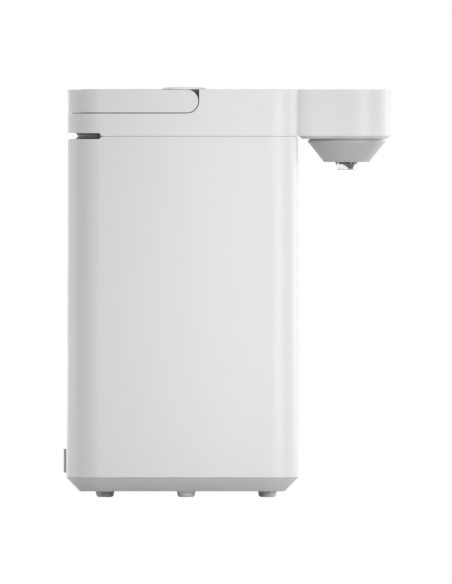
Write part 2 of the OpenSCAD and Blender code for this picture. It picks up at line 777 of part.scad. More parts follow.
// The steam valve stands midway between the latch spring's stop and the seal
valve_x = (stop_x - guide_t - neck_r + seal_lap) / 2;
module lid_inner() piece("white") {
  difference() {
    translate([0, 0, plug_z0]) cylinder(r = plug_r, h = lid_under - plug_z0);
    translate([0, 0, plug_floor]) cylinder(r = plug_r - wall, h = big);
    latch_slot(fit);
    translate([valve_x, 0, 0]) cylinder(r = valve_stem_r + pin_gap, h = big);
  }
  // Seat of the button's spring
  translate([button_x, 0, plug_floor - eps]) {
    cylinder(r = spring_r + spring_seat_rim, h = spring_seat - plug_floor + eps);
    cylinder(r = spring_r - 1, h = spring_seat - plug_floor + spring_post_h);
  }
  // Rails that carry the latch and keep it straight
  for (s = [-1, 1]) {
    translate([0, s * (latch_w - guide_t) / 2, 0])
      centred_block(stop_x, rail_end, guide_t / 2, plug_floor - eps, latch_z0 - fit);
    translate([0, s * (latch_w / 2 + fit + guide_t / 2), 0])
      centred_block(stop_x, rail_end, guide_t / 2, plug_floor - eps, latch_top);
  }
  centred_block(stop_x - guide_t, stop_x, latch_w / 2 + fit + guide_t, plug_floor - eps,
    latch_top);
}

module lid_seal() piece("lightgray") {
  tube(seal_r, neck_r - seal_lap, plug_z0 - seal_t, plug_z0 - seal_t / 2);
  tube(seal_r - seal_lap, neck_r - seal_lap, plug_z0 - seal_t / 2 - eps, plug_z0);
}

module steam_valve() piece("darkgray") translate([valve_x, 0, plug_z0]) {
  translate([0, 0, -valve_cap_t]) cylinder(r = valve_cap_r, h = valve_cap_t);
  translate([0, 0, -eps]) cylinder(r = valve_stem_r, h = wall + valve_stem_h);
}

// Where the latch's ramp stands at height z
function ramp_at(z) = ramp_x - latch_ratio * (z - latch_z0);

module release_button() piece("lightgray") {
  translate([button_x, 0, 0]) rotate_extrude() polygon(concat(
    [[0, button_z0], [button_r, button_z0]],
    [for (a = [0:15:90]) [button_r - button_round * (1 - cos(a)),
      top_z + button_proud * (0.2 + 0.8 * sin(a))]],
    [[0, top_z + button_proud]]));
  // Wedge that draws the latch back as the button goes down
  wedge_foot = ramp_at(latch_z0 + fit) + ramp_gap;
  wedge_top = latch_top + 1;
  translate([0, latch_window - 1, 0]) rotate([90, 0, 0]) linear_extrude(2 * latch_window - 2)
    polygon([[wedge_foot, latch_z0 + fit], [wedge_foot + wedge_t, latch_z0 + fit],
      [wedge_foot + wedge_t, button_z0 + eps], [ramp_at(wedge_top) + ramp_gap, button_z0 + eps],
      [ramp_at(wedge_top) + ramp_gap, wedge_top]]);
}

module button_spring() piece("silver") translate([button_x, 0, spring_seat + spring_wire + 0.05])
  swept(helix(spring_r, button_z0 - spring_seat - 2 * spring_wire - 0.1, 5, 14), spring_wire, 6,
    [0, 0, 1]);

module lid_latch() piece("silver") difference() {
  translate([0, latch_w / 2, 0]) rotate([90, 0, 0]) linear_extrude(latch_w)
    polygon([[latch_rear, latch_z0], [latch_tip - latch_nose_l, latch_z0],
      [latch_tip, latch_top - latch_nose_h], [latch_tip, latch_top], [latch_rear, latch_top]]);
  // Window for the wedge and the spring, with the ramp as its rear edge
  translate([0, latch_window, 0]) rotate([90, 0, 0]) linear_extrude(2 * latch_window)
    polygon([[ramp_at(latch_z0 - 1), latch_z0 - 1], [latch_window_x, latch_z0 - 1],
      [latch_window_x, latch_top + 1], [ramp_at(latch_top + 1), latch_top + 1]]);
}

module latch_spring() piece("silver")
  translate([stop_x + latch_spring_wire + 0.05, 0, (latch_z0 + latch_top) / 2]) rotate([0, 90, 0])
    swept(helix(latch_spring_r, latch_spring_l - 2 * latch_spring_wire - 0.1, 6, 12),
      latch_spring_wire, 6, [0, 0, 1]);

// --- Head ---

// Posts that carry the control board and take the tray's screws
module head_post_places() for (s = [-1, 1]) translate([head_post_x, s * head_post_y, 0])
  children();

module head_cover() piece("whitesmoke") difference() {
  head_layer(0, housing_z0, top_z);
  difference() {
    head_layer(wall, housing_z0 - 1, panel_z0 - wall);
    head_post_places() {
      translate([0, 0, housing_z0]) cylinder(r = head_post_r, h = board_z - housing_z0);
      translate([0, 0, housing_z0]) cylinder(r = head_post_neck_r, h = big);
    }
  }
  panel_layer(-fit, panel_z0, top_z + 1);
  panel_layer(ledge_w, panel_z0 - wall - 1, panel_z0 + 1);
  head_post_places() translate([0, 0, housing_z0 - 1]) cylinder(r = screw_r, h = screw_grip + 4);
}

module head_tray() piece("gainsboro") difference() {
  union() {
    translate([spout_x, 0, cowl_z1]) cylinder(r1 = head_r - band_inset, r2 = head_r, h = band_h);
    translate([body_l / 2, 0, cowl_z1]) rotate([90, 0, 90]) linear_extrude(spout_x - body_l / 2)
      polygon([[band_inset - head_r, 0], [head_r - band_inset, 0], [head_r, band_h],
        [-head_r, band_h]]);
    difference() {
      head_layer(lip_in, housing_z0 - eps, housing_z0 + lip_h);
      head_layer(lip_out, housing_z0, housing_z0 + lip_h + 1);
    }
  }
  // Chamfer where the tray meets the body
  translate([body_l / 2, head_r + 1, cowl_z1 - eps]) rotate([90, 0, 0])
    linear_extrude(2 * head_r + 2) polygon([[-1, -1], [band_inset, 0], [0, band_h], [-1, band_h]]);
  translate([spout_x, 0, cowl_z1 - 1]) cylinder(r = spigot_r + fit, h = big);
  head_post_places() {
    translate([0, 0, cowl_z1 - 1]) cylinder(r = screw_r + pin_gap, h = big);
    translate([0, 0, cowl_z1 - 1]) cylinder(r = screw_head_r + fit, h = head_screw_sink + 1);
  }
}

head_screw_sink = 1.6;
module head_screws() piece("silver") head_post_places() {
  translate([0, 0, cowl_z1]) cylinder(r = screw_head_r, h = head_screw_sink);
  translate([0, 0, cowl_z1 + head_screw_sink - eps]) cylinder(r = screw_r,
    h = band_h - head_screw_sink + screw_grip);
}

module key_hole(x, y, r) translate([x, y, 0]) cylinder(r = r + fit, h = big);

module control_panel() piece("darkgray") difference() {
  panel_layer(0, panel_z0, panel_z0 + panel_t);
  key_hole(main_key_x, 0, main_key_r);
  for (s = [-1, 1]) key_hole(side_key_x, s * side_key_y, side_key_r);
  centred_block(window_x - window_l / 2, window_x + window_l / 2, window_w / 2, 0, big);
}

window_gap = 0.1;
module display_window() piece("black") centred_block(window_x - window_l / 2 + window_gap,
  window_x + window_l / 2 - window_gap, window_w / 2 - window_gap, panel_z0, panel_z0 + panel_t);

// Key with a flange under the panel and a stem over its switch
module key(x, y, r) piece("white") translate([x, y, 0]) {
  translate([0, 0, panel_z0 - fit - eps]) cylinder(r = r, h = panel_t + fit + key_proud + eps);
  translate([0, 0, key_flange_z0]) cylinder(r = r + key_flange_w, h = key_flange_t);
  translate([0, 0, key_stem_z0]) cylinder(r = key_stem_r, h = key_flange_z0 - key_stem_z0 + eps);
}
module pouring_key() key(main_key_x, 0, main_key_r);
module left_key() key(side_key_x, side_key_y, side_key_r);
module right_key() key(side_key_x, -side_key_y, side_key_r);

module switch_block(x, y) translate([x - switch_w / 2, y - switch_w / 2, board_z + board_t - eps])
  cube([switch_w, switch_w, switch_h + eps]);

module control_board() piece("seagreen") {
  difference() {
    panel_layer(1, board_z, board_z + board_t);
    head_post_places() cylinder(r = head_post_neck_r + fit, h = big);
  }
  switch_block(main_key_x, 0);
  for (s = [-1, 1]) switch_block(side_key_x, s * side_key_y);
  // Display module up to the window
  centred_block(window_x - window_l / 2, window_x + window_l / 2, window_w / 2,
    board_z + board_t - eps, panel_z0 - fit);
}

// --- Spout ---

module nozzle_cowl() piece("darkgray") translate([spout_x, 0, 0]) difference() {
  rotate_extrude() polygon([[0, cowl_z0], [cowl_low_r, cowl_z0], [cowl_r, cowl_z1 - cowl_rim_h],
    [cowl_r, cowl_z1 - cowl_shadow_h], [cowl_r - cowl_step, cowl_z1 - cowl_shadow_h],
    [cowl_r - cowl_step, cowl_z1], [cowl_r - cowl_step - cowl_t, cowl_z1],
    [cowl_r - cowl_step - cowl_t, cowl_z1 - cowl_rim_h], [cowl_low_r - cowl_t, cowl_z0 + cowl_t],
    [0, cowl_z0 + cowl_t]]);
  cylinder(r = spigot_r + fit, h = big);
}

module outlet_nozzle() piece([0.85, 0.9, 0.92, 0.5]) translate([spout_x, 0, 0]) difference() {
  union() {
    translate([0, 0, outlet_z0]) cylinder(r1 = outlet_low_r, r2 = outlet_r, h = outlet_h);
    translate([0, 0, cowl_z0 - eps]) cylinder(r = spigot_r, h = spigot_z1 - cowl_z0 + eps);
  }
  translate([0, 0, outlet_z0 - eps]) cylinder(r1 = outlet_low_r - outlet_t,
    r2 = outlet_r - outlet_t, h = outlet_h - outlet_t + eps);
  cylinder(r = water_r, h = big);
}

module flow_insert() piece("black") translate([spout_x, 0, 0]) difference() {
  translate([0, 0, outlet_z0 + insert_sink]) cylinder(r1 = insert_low_r, r2 = insert_top_r,
    h = outlet_h - outlet_t - insert_sink);
  cylinder(r = insert_bore_r, h = big);
}

// --- Tank, heater and jacket ---

flange_t = 1.2;
tank_spigot_h = 6;
tab_h = 4;
tab_t = 1;
heater_tab_w = 6;
cutout_tab_w = 4;
cutout_t = 5;
sensor_r = 3;
sensor_head_t = 4;
sensor_h = 8;
sensor_turn = 211.9;
sensor_x = (heater_r + 11) * cos(sensor_turn);
sensor_y = (heater_r + 11) * sin(sensor_turn);
cutout_r = 7.5;
cutout_turn = 157.4;
cutout_x = (heater_r + 10) * cos(cutout_turn);
cutout_y = (heater_r + 10) * sin(cutout_turn);

module inner_tank() piece("silver") difference() {
  union() {
    translate([0, 0, tank_z0]) cylinder(r = tank_r, h = tank_z1 - tank_z0);
    translate([0, 0, tank_z1 - flange_t]) cylinder(r = flange_r, h = flange_t);
    translate([pump_x, pump_y, tank_z0 - tank_spigot_h]) cylinder(r = spigot_r,
      h = tank_spigot_h + tank_t);
  }
  translate([0, 0, tank_z0 + tank_t]) cylinder(r = tank_r - tank_t,
    h = tank_z1 - flange_t - tank_z0 - tank_t);
  translate([0, 0, tank_z1 - flange_t - 1]) cylinder(r = neck_r, h = flange_t + 2);
  translate([pump_x, pump_y, tank_z0 - tank_spigot_h - 1]) cylinder(r = water_r,
    h = tank_spigot_h + tank_t + 2);
  translate([sensor_x, sensor_y, tank_z0 - 1]) cylinder(r = sensor_r + pin_gap, h = tank_t + 2);
}

module tank_gasket() piece("lightgray") tube(well_r + wall, well_r - 2, tank_z1, well_z0);

module insulation_jacket() piece("beige") tube(tank_r + fit + jacket_t, tank_r + fit, tank_z0,
  tank_z1 - 6);

module tank_cradle() piece("gray") difference() {
  union() {
    tube(tank_r + fit + jacket_t, cradle_in, tank_z0 - cradle_t, tank_z0);
    base_boss_places() translate([-leg_w / 2, -leg_w / 2, base_z + screw_boss_h])
      cube([leg_w, leg_w, tank_z0 - cradle_t - base_z - screw_boss_h + eps]);
  }
  base_boss_places() cylinder(r = screw_r, h = base_z + screw_boss_h + screw_grip + 2);
}

module heater_plate() piece("silver") {
  translate([0, 0, tank_z0 - heater_t]) cylinder(r = heater_r, h = heater_t);
  for (s = [-1, 1]) translate([-heater_tab_w / 2, s * (heater_r - 12) - tab_t / 2,
    tank_z0 - heater_t - tab_h]) cube([heater_tab_w, tab_t, tab_h + eps]);
}

module thermal_cutout() piece("black") translate([cutout_x, cutout_y, 0]) {
  translate([0, 0, tank_z0 - cutout_t]) cylinder(r = cutout_r, h = cutout_t);
  for (s = [-1, 1]) translate([(s * cutout_r + s - tab_t) / 2, -cutout_tab_w / 2,
    tank_z0 - cutout_t - tab_h]) cube([tab_t, cutout_tab_w, tab_h + eps]);
}

module temperature_sensor() piece("silver") translate([sensor_x, sensor_y, 0]) {
  translate([0, 0, tank_z0 - sensor_head_t]) cylinder(r = 2 * sensor_r, h = sensor_head_t);
  translate([0, 0, tank_z0 - eps]) cylinder(r = sensor_r, h = sensor_h);
  translate([0, 0, tank_z0 + sensor_h]) sphere(sensor_r);
}

// --- Pump and water run ---

module at_pump() translate([pump_x, pump_y, 0]) children();
// Direction of the pump's outlet, towards the riser
outlet_way = unit([riser_xy - pump_x, -riser_xy - pump_y, 0]);
outlet_z = pump_z0 + pump_h / 2;
chamber_z0 = pump_z0 + pump_wall;
chamber_h = pump_h - 2 * pump_wall;
chamber_r = pump_r - pump_wall - 1;
shaft_top = chamber_z0 + shaft_reach;
impeller_gap = 0.5;
impeller_disc_t = 1.5;
impeller_r = chamber_r - 2 * impeller_gap;
impeller_h = chamber_h - 3 * impeller_gap;
hub_r = shaft_r + 1.6;
vane_t = 1;
outlet_reach = 8;
outlet_taper = 0.6;

module outlet_bar(r, a, b) translate([pump_x, pump_y, outlet_z] + a * outlet_way)
  rotate([0, 0, atan2(outlet_way[1], outlet_way[0])]) rotate([0, 90, 0])
    cylinder(r = r, h = b - a);

module pump_body() piece("dimgray") difference() {
  union() {
    at_pump() translate([0, 0, pump_z0]) cylinder(r = pump_r, h = pump_h);
    at_pump() translate([0, 0, pump_z1 - eps]) cylinder(r = spigot_r, h = 2 + eps);
    outlet_bar(spigot_r - outlet_taper, chamber_r, pump_r + outlet_reach);
  }
  at_pump() translate([0, 0, chamber_z0]) cylinder(r = chamber_r, h = chamber_h);
  at_pump() translate([0, 0, chamber_z0]) cylinder(r = water_r, h = big);
  at_pump() cylinder(r = shaft_r + 0.1, h = chamber_z0 + 1);
  outlet_bar(water_r - outlet_taper, chamber_r - 3, pump_r + outlet_reach + 1);
}

module pump_motor() piece("silver") at_pump() difference() {
  translate([0, 0, motor_z0]) cylinder(r = motor_r, h = motor_h);
  translate([0, 0, motor_z0 + shaft_seat_t]) cylinder(r = shaft_r + pin_gap, h = big);
}

module motor_shaft() piece("gray") at_pump() translate([0, 0, motor_z0 + shaft_seat_t + fit])
  cylinder(r = shaft_r, h = shaft_top - motor_z0 - shaft_seat_t - fit);

module pump_impeller() piece("white") at_pump() difference() {
  translate([0, 0, chamber_z0 + impeller_gap]) {
    cylinder(r = impeller_r, h = impeller_disc_t);
    cylinder(r = hub_r, h = impeller_h);
    for (k = [0:vane_count - 1]) rotate([0, 0, 360 * k / vane_count])
      translate([shaft_r, -vane_t / 2, impeller_disc_t / 2])
        cube([impeller_r - impeller_gap - shaft_r, vane_t, impeller_h - impeller_disc_t / 2]);
  }
  cylinder(r = shaft_r, h = shaft_top);
}

module pump_bracket() piece("darkgray") at_pump() {
  translate([0, 0, base_floor]) cylinder(r = motor_r + wall, h = bracket_t);
  tube(motor_r + wall, motor_r + pin_gap, motor_z0 - eps, motor_z0 + bracket_lip_h);
}

module suction_coupler() piece("whitesmoke") at_pump()
  tube(spigot_r + 2, spigot_r + pin_gap, pump_z1 + fit, tank_z0 - fit);

hose_r = 4.6;
module delivery_hose() piece("whitesmoke") {
  start = [pump_x, pump_y, outlet_z] + (pump_r + outlet_reach + fit) * outlet_way;
  swept(route([start, start + 3 * outlet_way, start + 8 * outlet_way,
    [riser_xy - 2.2, -riser_xy + 2.8, outlet_z + 3.5], [riser_xy, -riser_xy, outlet_z + 11],
    [riser_xy, -riser_xy, riser_z0 - 5], [riser_xy, -riser_xy, riser_z0 - fit]], 4), hose_r, 12);
}

module riser_tube() piece("whitesmoke") translate([riser_xy, -riser_xy, 0])
  tube(riser_r, water_r, riser_z0, riser_z1);

module spout_hose() piece("whitesmoke") {
  swept(route([[riser_xy, -riser_xy, riser_z1 + fit], [riser_xy, -riser_xy, riser_z1 + 2],
    [riser_xy, -riser_xy, riser_z1 + 4], [riser_xy + 1, -riser_xy + 4, riser_z1 + 8],
    [riser_xy + 5, -riser_xy + 12, riser_z1 + 10],
    [riser_xy + 11, -46, riser_z1 + 11], [body_l / 2 - 9, -28, riser_z1 + 11],
    [body_l / 2, -16, riser_z1 + 10.5], [spout_x - 27, -7, riser_z1 + 10],
    [spout_x - 13, -2, riser_z1 + 9.5], [spout_x - 5, 0, riser_z1 + 7.5],
    [spout_x - 1, 0, spigot_z1 + 6], [spout_x, 0, spigot_z1 + 3],
    [spout_x, 0, spigot_z1 + fit]], 3), hose_r, 12);
}

// --- Electrics ---

module power_board() piece("seagreen") {
  z = base_floor + board_post_h;
  centred_block(board_x0, board_x1, board_w / 2, z, z + board_t);
  for (p = board_blocks)
    translate([board_x0 + p[0], p[1], z + board_t - eps]) cube([p[2], p[3], p[4]]);
  for (p = board_cans)
    translate([board_x0 + p[0], p[1], z + board_t - eps]) cylinder(r = p[2], h = p[3]);
}

wire_r = 2.5;
module wiring_harness() piece("tomato")
  swept(route([[board_x1 + fit, 34, base_floor + board_post_h + board_t / 2],
    [board_x1 + 7, 34.5, base_floor + board_post_h + board_t / 2], [7, 40, base_floor + 6.5],
    [25, 50, base_floor + 6], [46, 61, base_floor + 6], [66, 70, base_floor + 10],
    [riser_xy, riser_xy, base_floor + 24], [riser_xy, riser_xy, riser_z0],
    [riser_xy, riser_xy, (riser_z0 + riser_z1) / 2], [riser_xy, riser_xy, riser_z1 - 20],
    [riser_xy, riser_xy, riser_z1], [riser_xy + 5, riser_xy - 10, riser_z1 + 8],
    [riser_xy + 13, 44, riser_z1 + 10], [body_l / 2, 20, riser_z1 + 11],
    [body_l / 2 + 8, 13.5, riser_z1 + 11.3], [body_l / 2 + 13.2, 10.3, riser_z1 + 13.6],
    [body_l / 2 + 13.5, 10, board_z - 2 * fit]], 4), wire_r, 8);

module base_screws() piece("silver") base_boss_places() {
  translate([0, 0, base_z + screw_boss_h - wall - screw_head_h])
    cylinder(r = screw_head_r, h = screw_head_h);
  translate([0, 0, base_z + screw_boss_h - wall - eps]) cylinder(r = screw_r,
    h = wall + screw_grip);
}

outer_shell();
base_pan();
foot_front();
foot_rear();
foot_left();
foot_right();
power_inlet();
inlet_contacts();
top_housing();
vent_channel();
handle();
handle_pin_left();
handle_pin_right();
lid_well();
hinge_pin();
lid_outer();
lid_inner();
lid_seal();
steam_valve();
release_button();
button_spring();
lid_latch();
latch_spring();
head_cover();
head_tray();
control_panel();
display_window();
pouring_key();
left_key();
right_key();
control_board();
head_screws();
nozzle_cowl();
outlet_nozzle();
flow_insert();
inner_tank();
tank_gasket();
insulation_jacket();
tank_cradle();
heater_plate();
thermal_cutout();
temperature_sensor();
pump_body();
pump_motor();
motor_shaft();
pump_impeller();
pump_bracket();
suction_coupler();
delivery_hose();
riser_tube();
spout_hose();
power_board();
wiring_harness();
base_screws();
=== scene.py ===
# The looks of an electric thermo pot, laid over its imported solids.
# Metres, +X towards the spout, +Z up, and the floor is z = 0.
import json
import math

import bmesh
import bpy
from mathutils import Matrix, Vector


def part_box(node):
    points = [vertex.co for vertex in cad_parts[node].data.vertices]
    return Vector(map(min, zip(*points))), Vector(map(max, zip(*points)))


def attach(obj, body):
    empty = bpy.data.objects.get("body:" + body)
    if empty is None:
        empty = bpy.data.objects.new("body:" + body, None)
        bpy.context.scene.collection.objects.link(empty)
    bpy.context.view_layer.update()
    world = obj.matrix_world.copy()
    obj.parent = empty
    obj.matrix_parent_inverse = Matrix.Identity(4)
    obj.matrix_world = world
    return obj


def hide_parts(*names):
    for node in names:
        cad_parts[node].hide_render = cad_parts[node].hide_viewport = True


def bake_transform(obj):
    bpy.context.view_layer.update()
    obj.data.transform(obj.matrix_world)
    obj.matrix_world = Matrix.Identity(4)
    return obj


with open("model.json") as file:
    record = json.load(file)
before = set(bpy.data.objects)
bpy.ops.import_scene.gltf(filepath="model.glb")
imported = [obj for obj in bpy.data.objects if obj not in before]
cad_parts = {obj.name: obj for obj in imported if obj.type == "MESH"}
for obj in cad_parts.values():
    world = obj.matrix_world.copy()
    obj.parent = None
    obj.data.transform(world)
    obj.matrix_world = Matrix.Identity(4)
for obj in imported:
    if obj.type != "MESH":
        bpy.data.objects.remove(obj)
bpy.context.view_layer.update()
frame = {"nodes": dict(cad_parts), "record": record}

scene = bpy.context.scene
nodes = frame["nodes"]
bodyOf = {node: body for body, members in frame["record"]["behaviour"]["bodies"].items()
          for node in members}
slotOf = {part["node"]: part["material_slot"] for part in frame["record"]["subparts"]}
mm = 0.001


# Camera

cameraLook = {
    "viewHeight": 496.4 * mm,  # what the picture's long side spans
    "centreX": -0.9 * mm,
    "centreZ": 174.3 * mm,
    "distance": 2.0,
}


def makeCamera(look):
    camera = bpy.data.cameras.new("Side camera")
    camera.type = "ORTHO"
    camera.ortho_scale = look["viewHeight"]
    holder = bpy.data.objects.new("Side camera", camera)
    holder.location = (look["centreX"], -look["distance"], look["centreZ"])
    holder.rotation_euler = (math.pi / 2, 0, 0)
    scene.collection.objects.link(holder)
    scene.camera = holder


makeCamera(cameraLook)
scene.view_settings.view_transform = "Standard"
print("camera ready")


# Materials

def linearColour(hexText):
    channels = [int(hexText[i:i + 2], 16) / 255 for i in (1, 3, 5)]
    return [c / 12.92 if c <= 0.04045 else ((c + 0.055) / 1.055) ** 2.4 for c in channels] + [1]


def addNode(tree, kind, settings=None, links=None):
    node = tree.nodes.new(kind)
    for name, value in (settings or {}).items():
        if isinstance(name, str) and hasattr(node, name):
            setattr(node, name, value)
        else:
            node.inputs[name].default_value = value
    for name, source in (links or {}).items():
        tree.links.new(source, node.inputs[name])
    return node


def newMaterial(name):
    material = bpy.data.materials.new(name)
    material.use_nodes = True
    material.node_tree.nodes.clear()
    return material, material.node_tree


def shadeOf(hexText, share):
    return [c * share for c in linearColour(hexText)[:3]] + [1]


# Spark-eroded moulded plastic. A fine grain softens its highlights, and the moulding leaves
# the colour and sheen a little cloudy from place to place.
def mouldedPlastic(name, look):
    material, tree = newMaterial(name)
    place = addNode(tree, "ShaderNodeTexCoord").outputs["Object"]
    grain = addNode(tree, "ShaderNodeTexNoise", {"Scale": 1 / (look["grain"] * mm), "Detail": 2},
                    {"Vector": place})
    cloud = addNode(tree, "ShaderNodeTexNoise", {"Scale": 1 / (45 * mm), "Detail": 3},
                    {"Vector": place})
    colour = addNode(tree, "ShaderNodeMixRGB", {"Color1": shadeOf(look["colour"], 0.985),
                     "Color2": shadeOf(look["colour"], 1.015)}, {"Fac": cloud.outputs["Fac"]})
    sheen = addNode(tree, "ShaderNodeMapRange", {"To Min": look["roughness"] - 0.05,
                    "To Max": look["roughness"] + 0.05}, {"Value": cloud.outputs["Fac"]})
    bump = addNode(tree, "ShaderNodeBump", {"Strength": 0.6, "Distance": look["depth"] * mm},
                   {"Height": grain.outputs["Fac"]})
    surface = addNode(tree, "ShaderNodeBsdfPrincipled", {"IOR": 1.53,
                      "Coat Weight": look.get("coat", 0.0), "Coat Roughness": 0.08},
                      {"Base Color": colour.outputs["Color"],
                       "Roughness": sheen.outputs["Result"], "Normal": bump.outputs["Normal"]})
    addNode(tree, "ShaderNodeOutputMaterial", None, {"Surface": surface.outputs["BSDF"]})
    return material


# Silver paint under a thin lacquer. Its flakes sparkle faintly and pick up light from the sides.
def silverPaint(name, look):
    material, tree = newMaterial(name)
    place = addNode(tree, "ShaderNodeTexCoord").outputs["Object"]
    flakes = addNode(tree, "ShaderNodeTexVoronoi", {"Scale": 1 / (look["flake"] * mm)},
                     {"Vector": place})
    colour = addNode(tree, "ShaderNodeMixRGB", {"Color1": shadeOf(look["colour"], 0.95),
                     "Color2": shadeOf(look["colour"], 1.06)}, {"Fac": flakes.outputs["Distance"]})
    bump = addNode(tree, "ShaderNodeBump", {"Strength": 0.3, "Distance": 0.01 * mm},
                   {"Height": flakes.outputs["Distance"]})
    surface = addNode(tree, "ShaderNodeBsdfPrincipled", {"Metallic": look["metal"],
                      "Roughness": look["roughness"], "Coat Weight": 0.3, "Coat Roughness": 0.15},
                      {"Base Color": colour.outputs["Color"], "Normal": bump.outputs["Normal"]})
    addNode(tree, "ShaderNodeOutputMaterial", None, {"Surface": surface.outputs["BSDF"]})
    return material


# Clear moulded plastic, such as acrylic. It bends what stands behind it, and its edges show dark.
def clearPlastic(name, look):
    material, tree = newMaterial(name)
    place = addNode(tree, "ShaderNodeTexCoord").outputs["Object"]
    flow = addNode(tree, "ShaderNodeTexNoise", {"Scale": 1 / (4 * mm), "Detail": 2},
                   {"Vector": place})
    sheen = addNode(tree, "ShaderNodeMapRange", {"To Min": look["roughness"],
                    "To Max": look["roughness"] + 0.03}, {"Value": flow.outputs["Fac"]})
    bump = addNode(tree, "ShaderNodeBump", {"Strength": 0.4, "Distance": look["depth"] * mm},
                   {"Height": flow.outputs["Fac"]})
    surface = addNode(tree, "ShaderNodeBsdfPrincipled", {"IOR": 1.49, "Transmission Weight": 1.0,
                      "Base Color": linearColour(look["colour"])},
                      {"Roughness": sheen.outputs["Result"], "Normal": bump.outputs["Normal"]})
    addNode(tree, "ShaderNodeOutputMaterial", None, {"Surface": surface.outputs["BSDF"]})
    return material


# Metal worked in one direction. Fine lines run round Z, or the grain is even where it was cast.
def workedMetal(name, look):
    material, tree = newMaterial(name)
    place = addNode(tree, "ShaderNodeTexCoord").outputs["Object"]
    stretch = addNode(tree, "ShaderNodeMapping", {"Scale": look["stretch"]}, {"Vector": place})
    lines = addNode(tree, "ShaderNodeTexNoise", {"Scale": 1 / (look["line"] * mm), "Detail": 3},
                    {"Vector": stretch.outputs["Vector"]})
    spread = 0.08 * look.get("contrast", 1.0)
    colour = addNode(tree, "ShaderNodeMixRGB", {"Color1": shadeOf(look["colour"], 1 - spread),
                     "Color2": shadeOf(look["colour"], 1 + spread)}, {"Fac": lines.outputs["Fac"]})
    sheen = addNode(tree, "ShaderNodeMapRange", {"To Min": look["roughness"] - spread,
                    "To Max": look["roughness"] + spread}, {"Value": lines.outputs["Fac"]})
    bump = addNode(tree, "ShaderNodeBump", {"Strength": 0.5, "Distance": look["depth"] * mm},
                   {"Height": lines.outputs["Fac"]})
    surface = addNode(tree, "ShaderNodeBsdfPrincipled", {"Metallic": 1.0},
                      {"Base Color": colour.outputs["Color"],
                       "Roughness": sheen.outputs["Result"], "Normal": bump.outputs["Normal"]})
    addNode(tree, "ShaderNodeOutputMaterial", None, {"Surface": surface.outputs["BSDF"]})
    return material


# Soft moulded rubber or silicone. It is dull, and light that enters it comes out a little softer.
def softRubber(name, look):
    material, tree = newMaterial(name)
    place = addNode(tree, "ShaderNodeTexCoord").outputs["Object"]
    bloom = addNode(tree, "ShaderNodeTexNoise", {"Scale": 1 / (6 * mm), "Detail": 4},
                    {"Vector": place})
    colour = addNode(tree, "ShaderNodeMixRGB", {"Color1": shadeOf(look["colour"], 0.95),
                     "Color2": shadeOf(look["colour"], 1.04)}, {"Fac": bloom.outputs["Fac"]})
    bump = addNode(tree, "ShaderNodeBump", {"Strength": 0.5, "Distance": 0.03 * mm},
                   {"Height": bloom.outputs["Fac"]})
    surface = addNode(tree, "ShaderNodeBsdfPrincipled", {"IOR": 1.42,
                      "Roughness": look["roughness"], "Sheen Weight": 0.15,
                      "Subsurface Weight": look.get("glow", 0.0), "Subsurface Scale": 1 * mm,
                      "Subsurface Radius": (3.0, 3.0, 2.8)},
                      {"Base Color": colour.outputs["Color"], "Normal": bump.outputs["Normal"]})
    addNode(tree, "ShaderNodeOutputMaterial", None, {"Surface": surface.outputs["BSDF"]})
    return material


# Closed-cell foam. Its cut faces show rounded cells a few millimetres across.
def cellFoam(name, look):
    material, tree = newMaterial(name)
    place = addNode(tree, "ShaderNodeTexCoord").outputs["Object"]
    cells = addNode(tree, "ShaderNodeTexVoronoi", {"Scale": 1 / (look["cell"] * mm)},
                    {"Vector": place})
    colour = addNode(tree, "ShaderNodeMixRGB", {"Color1": linearColour(look["colour"]),
                     "Color2": shadeOf(look["colour"], 0.8)}, {"Fac": cells.outputs["Distance"]})
    bump = addNode(tree, "ShaderNodeBump", {"Strength": 0.8, "Distance": 0.3 * mm},
                   {"Height": cells.outputs["Distance"]})
    surface = addNode(tree, "ShaderNodeBsdfPrincipled", {"Roughness": 0.9},
                      {"Base Color": colour.outputs["Color"], "Normal": bump.outputs["Normal"]})
    addNode(tree, "ShaderNodeOutputMaterial", None, {"Surface": surface.outputs["BSDF"]})
    return material


# Glass-fibre circuit board. Copper tracks show as lighter lines under the solder mask.
def circuitBoard(name, look):
    material, tree = newMaterial(name)
    place = addNode(tree, "ShaderNodeTexCoord").outputs["Object"]
    tracks = addNode(tree, "ShaderNodeTexBrick", {"Color1": linearColour(look["colour"]),
                     "Color2": shadeOf(look["colour"], 0.85), "Mortar": linearColour(look["track"]),
                     "Scale": 1 / (30 * mm), "Mortar Size": 0.03, "Brick Width": 0.4,
                     "Row Height": 0.12}, {"Vector": place})
    surface = addNode(tree, "ShaderNodeBsdfPrincipled", {"Roughness": 0.35, "IOR": 1.5},
                      {"Base Color": tracks.outputs["Color"]})
    addNode(tree, "ShaderNodeOutputMaterial", None, {"Surface": surface.outputs["BSDF"]})
    return material


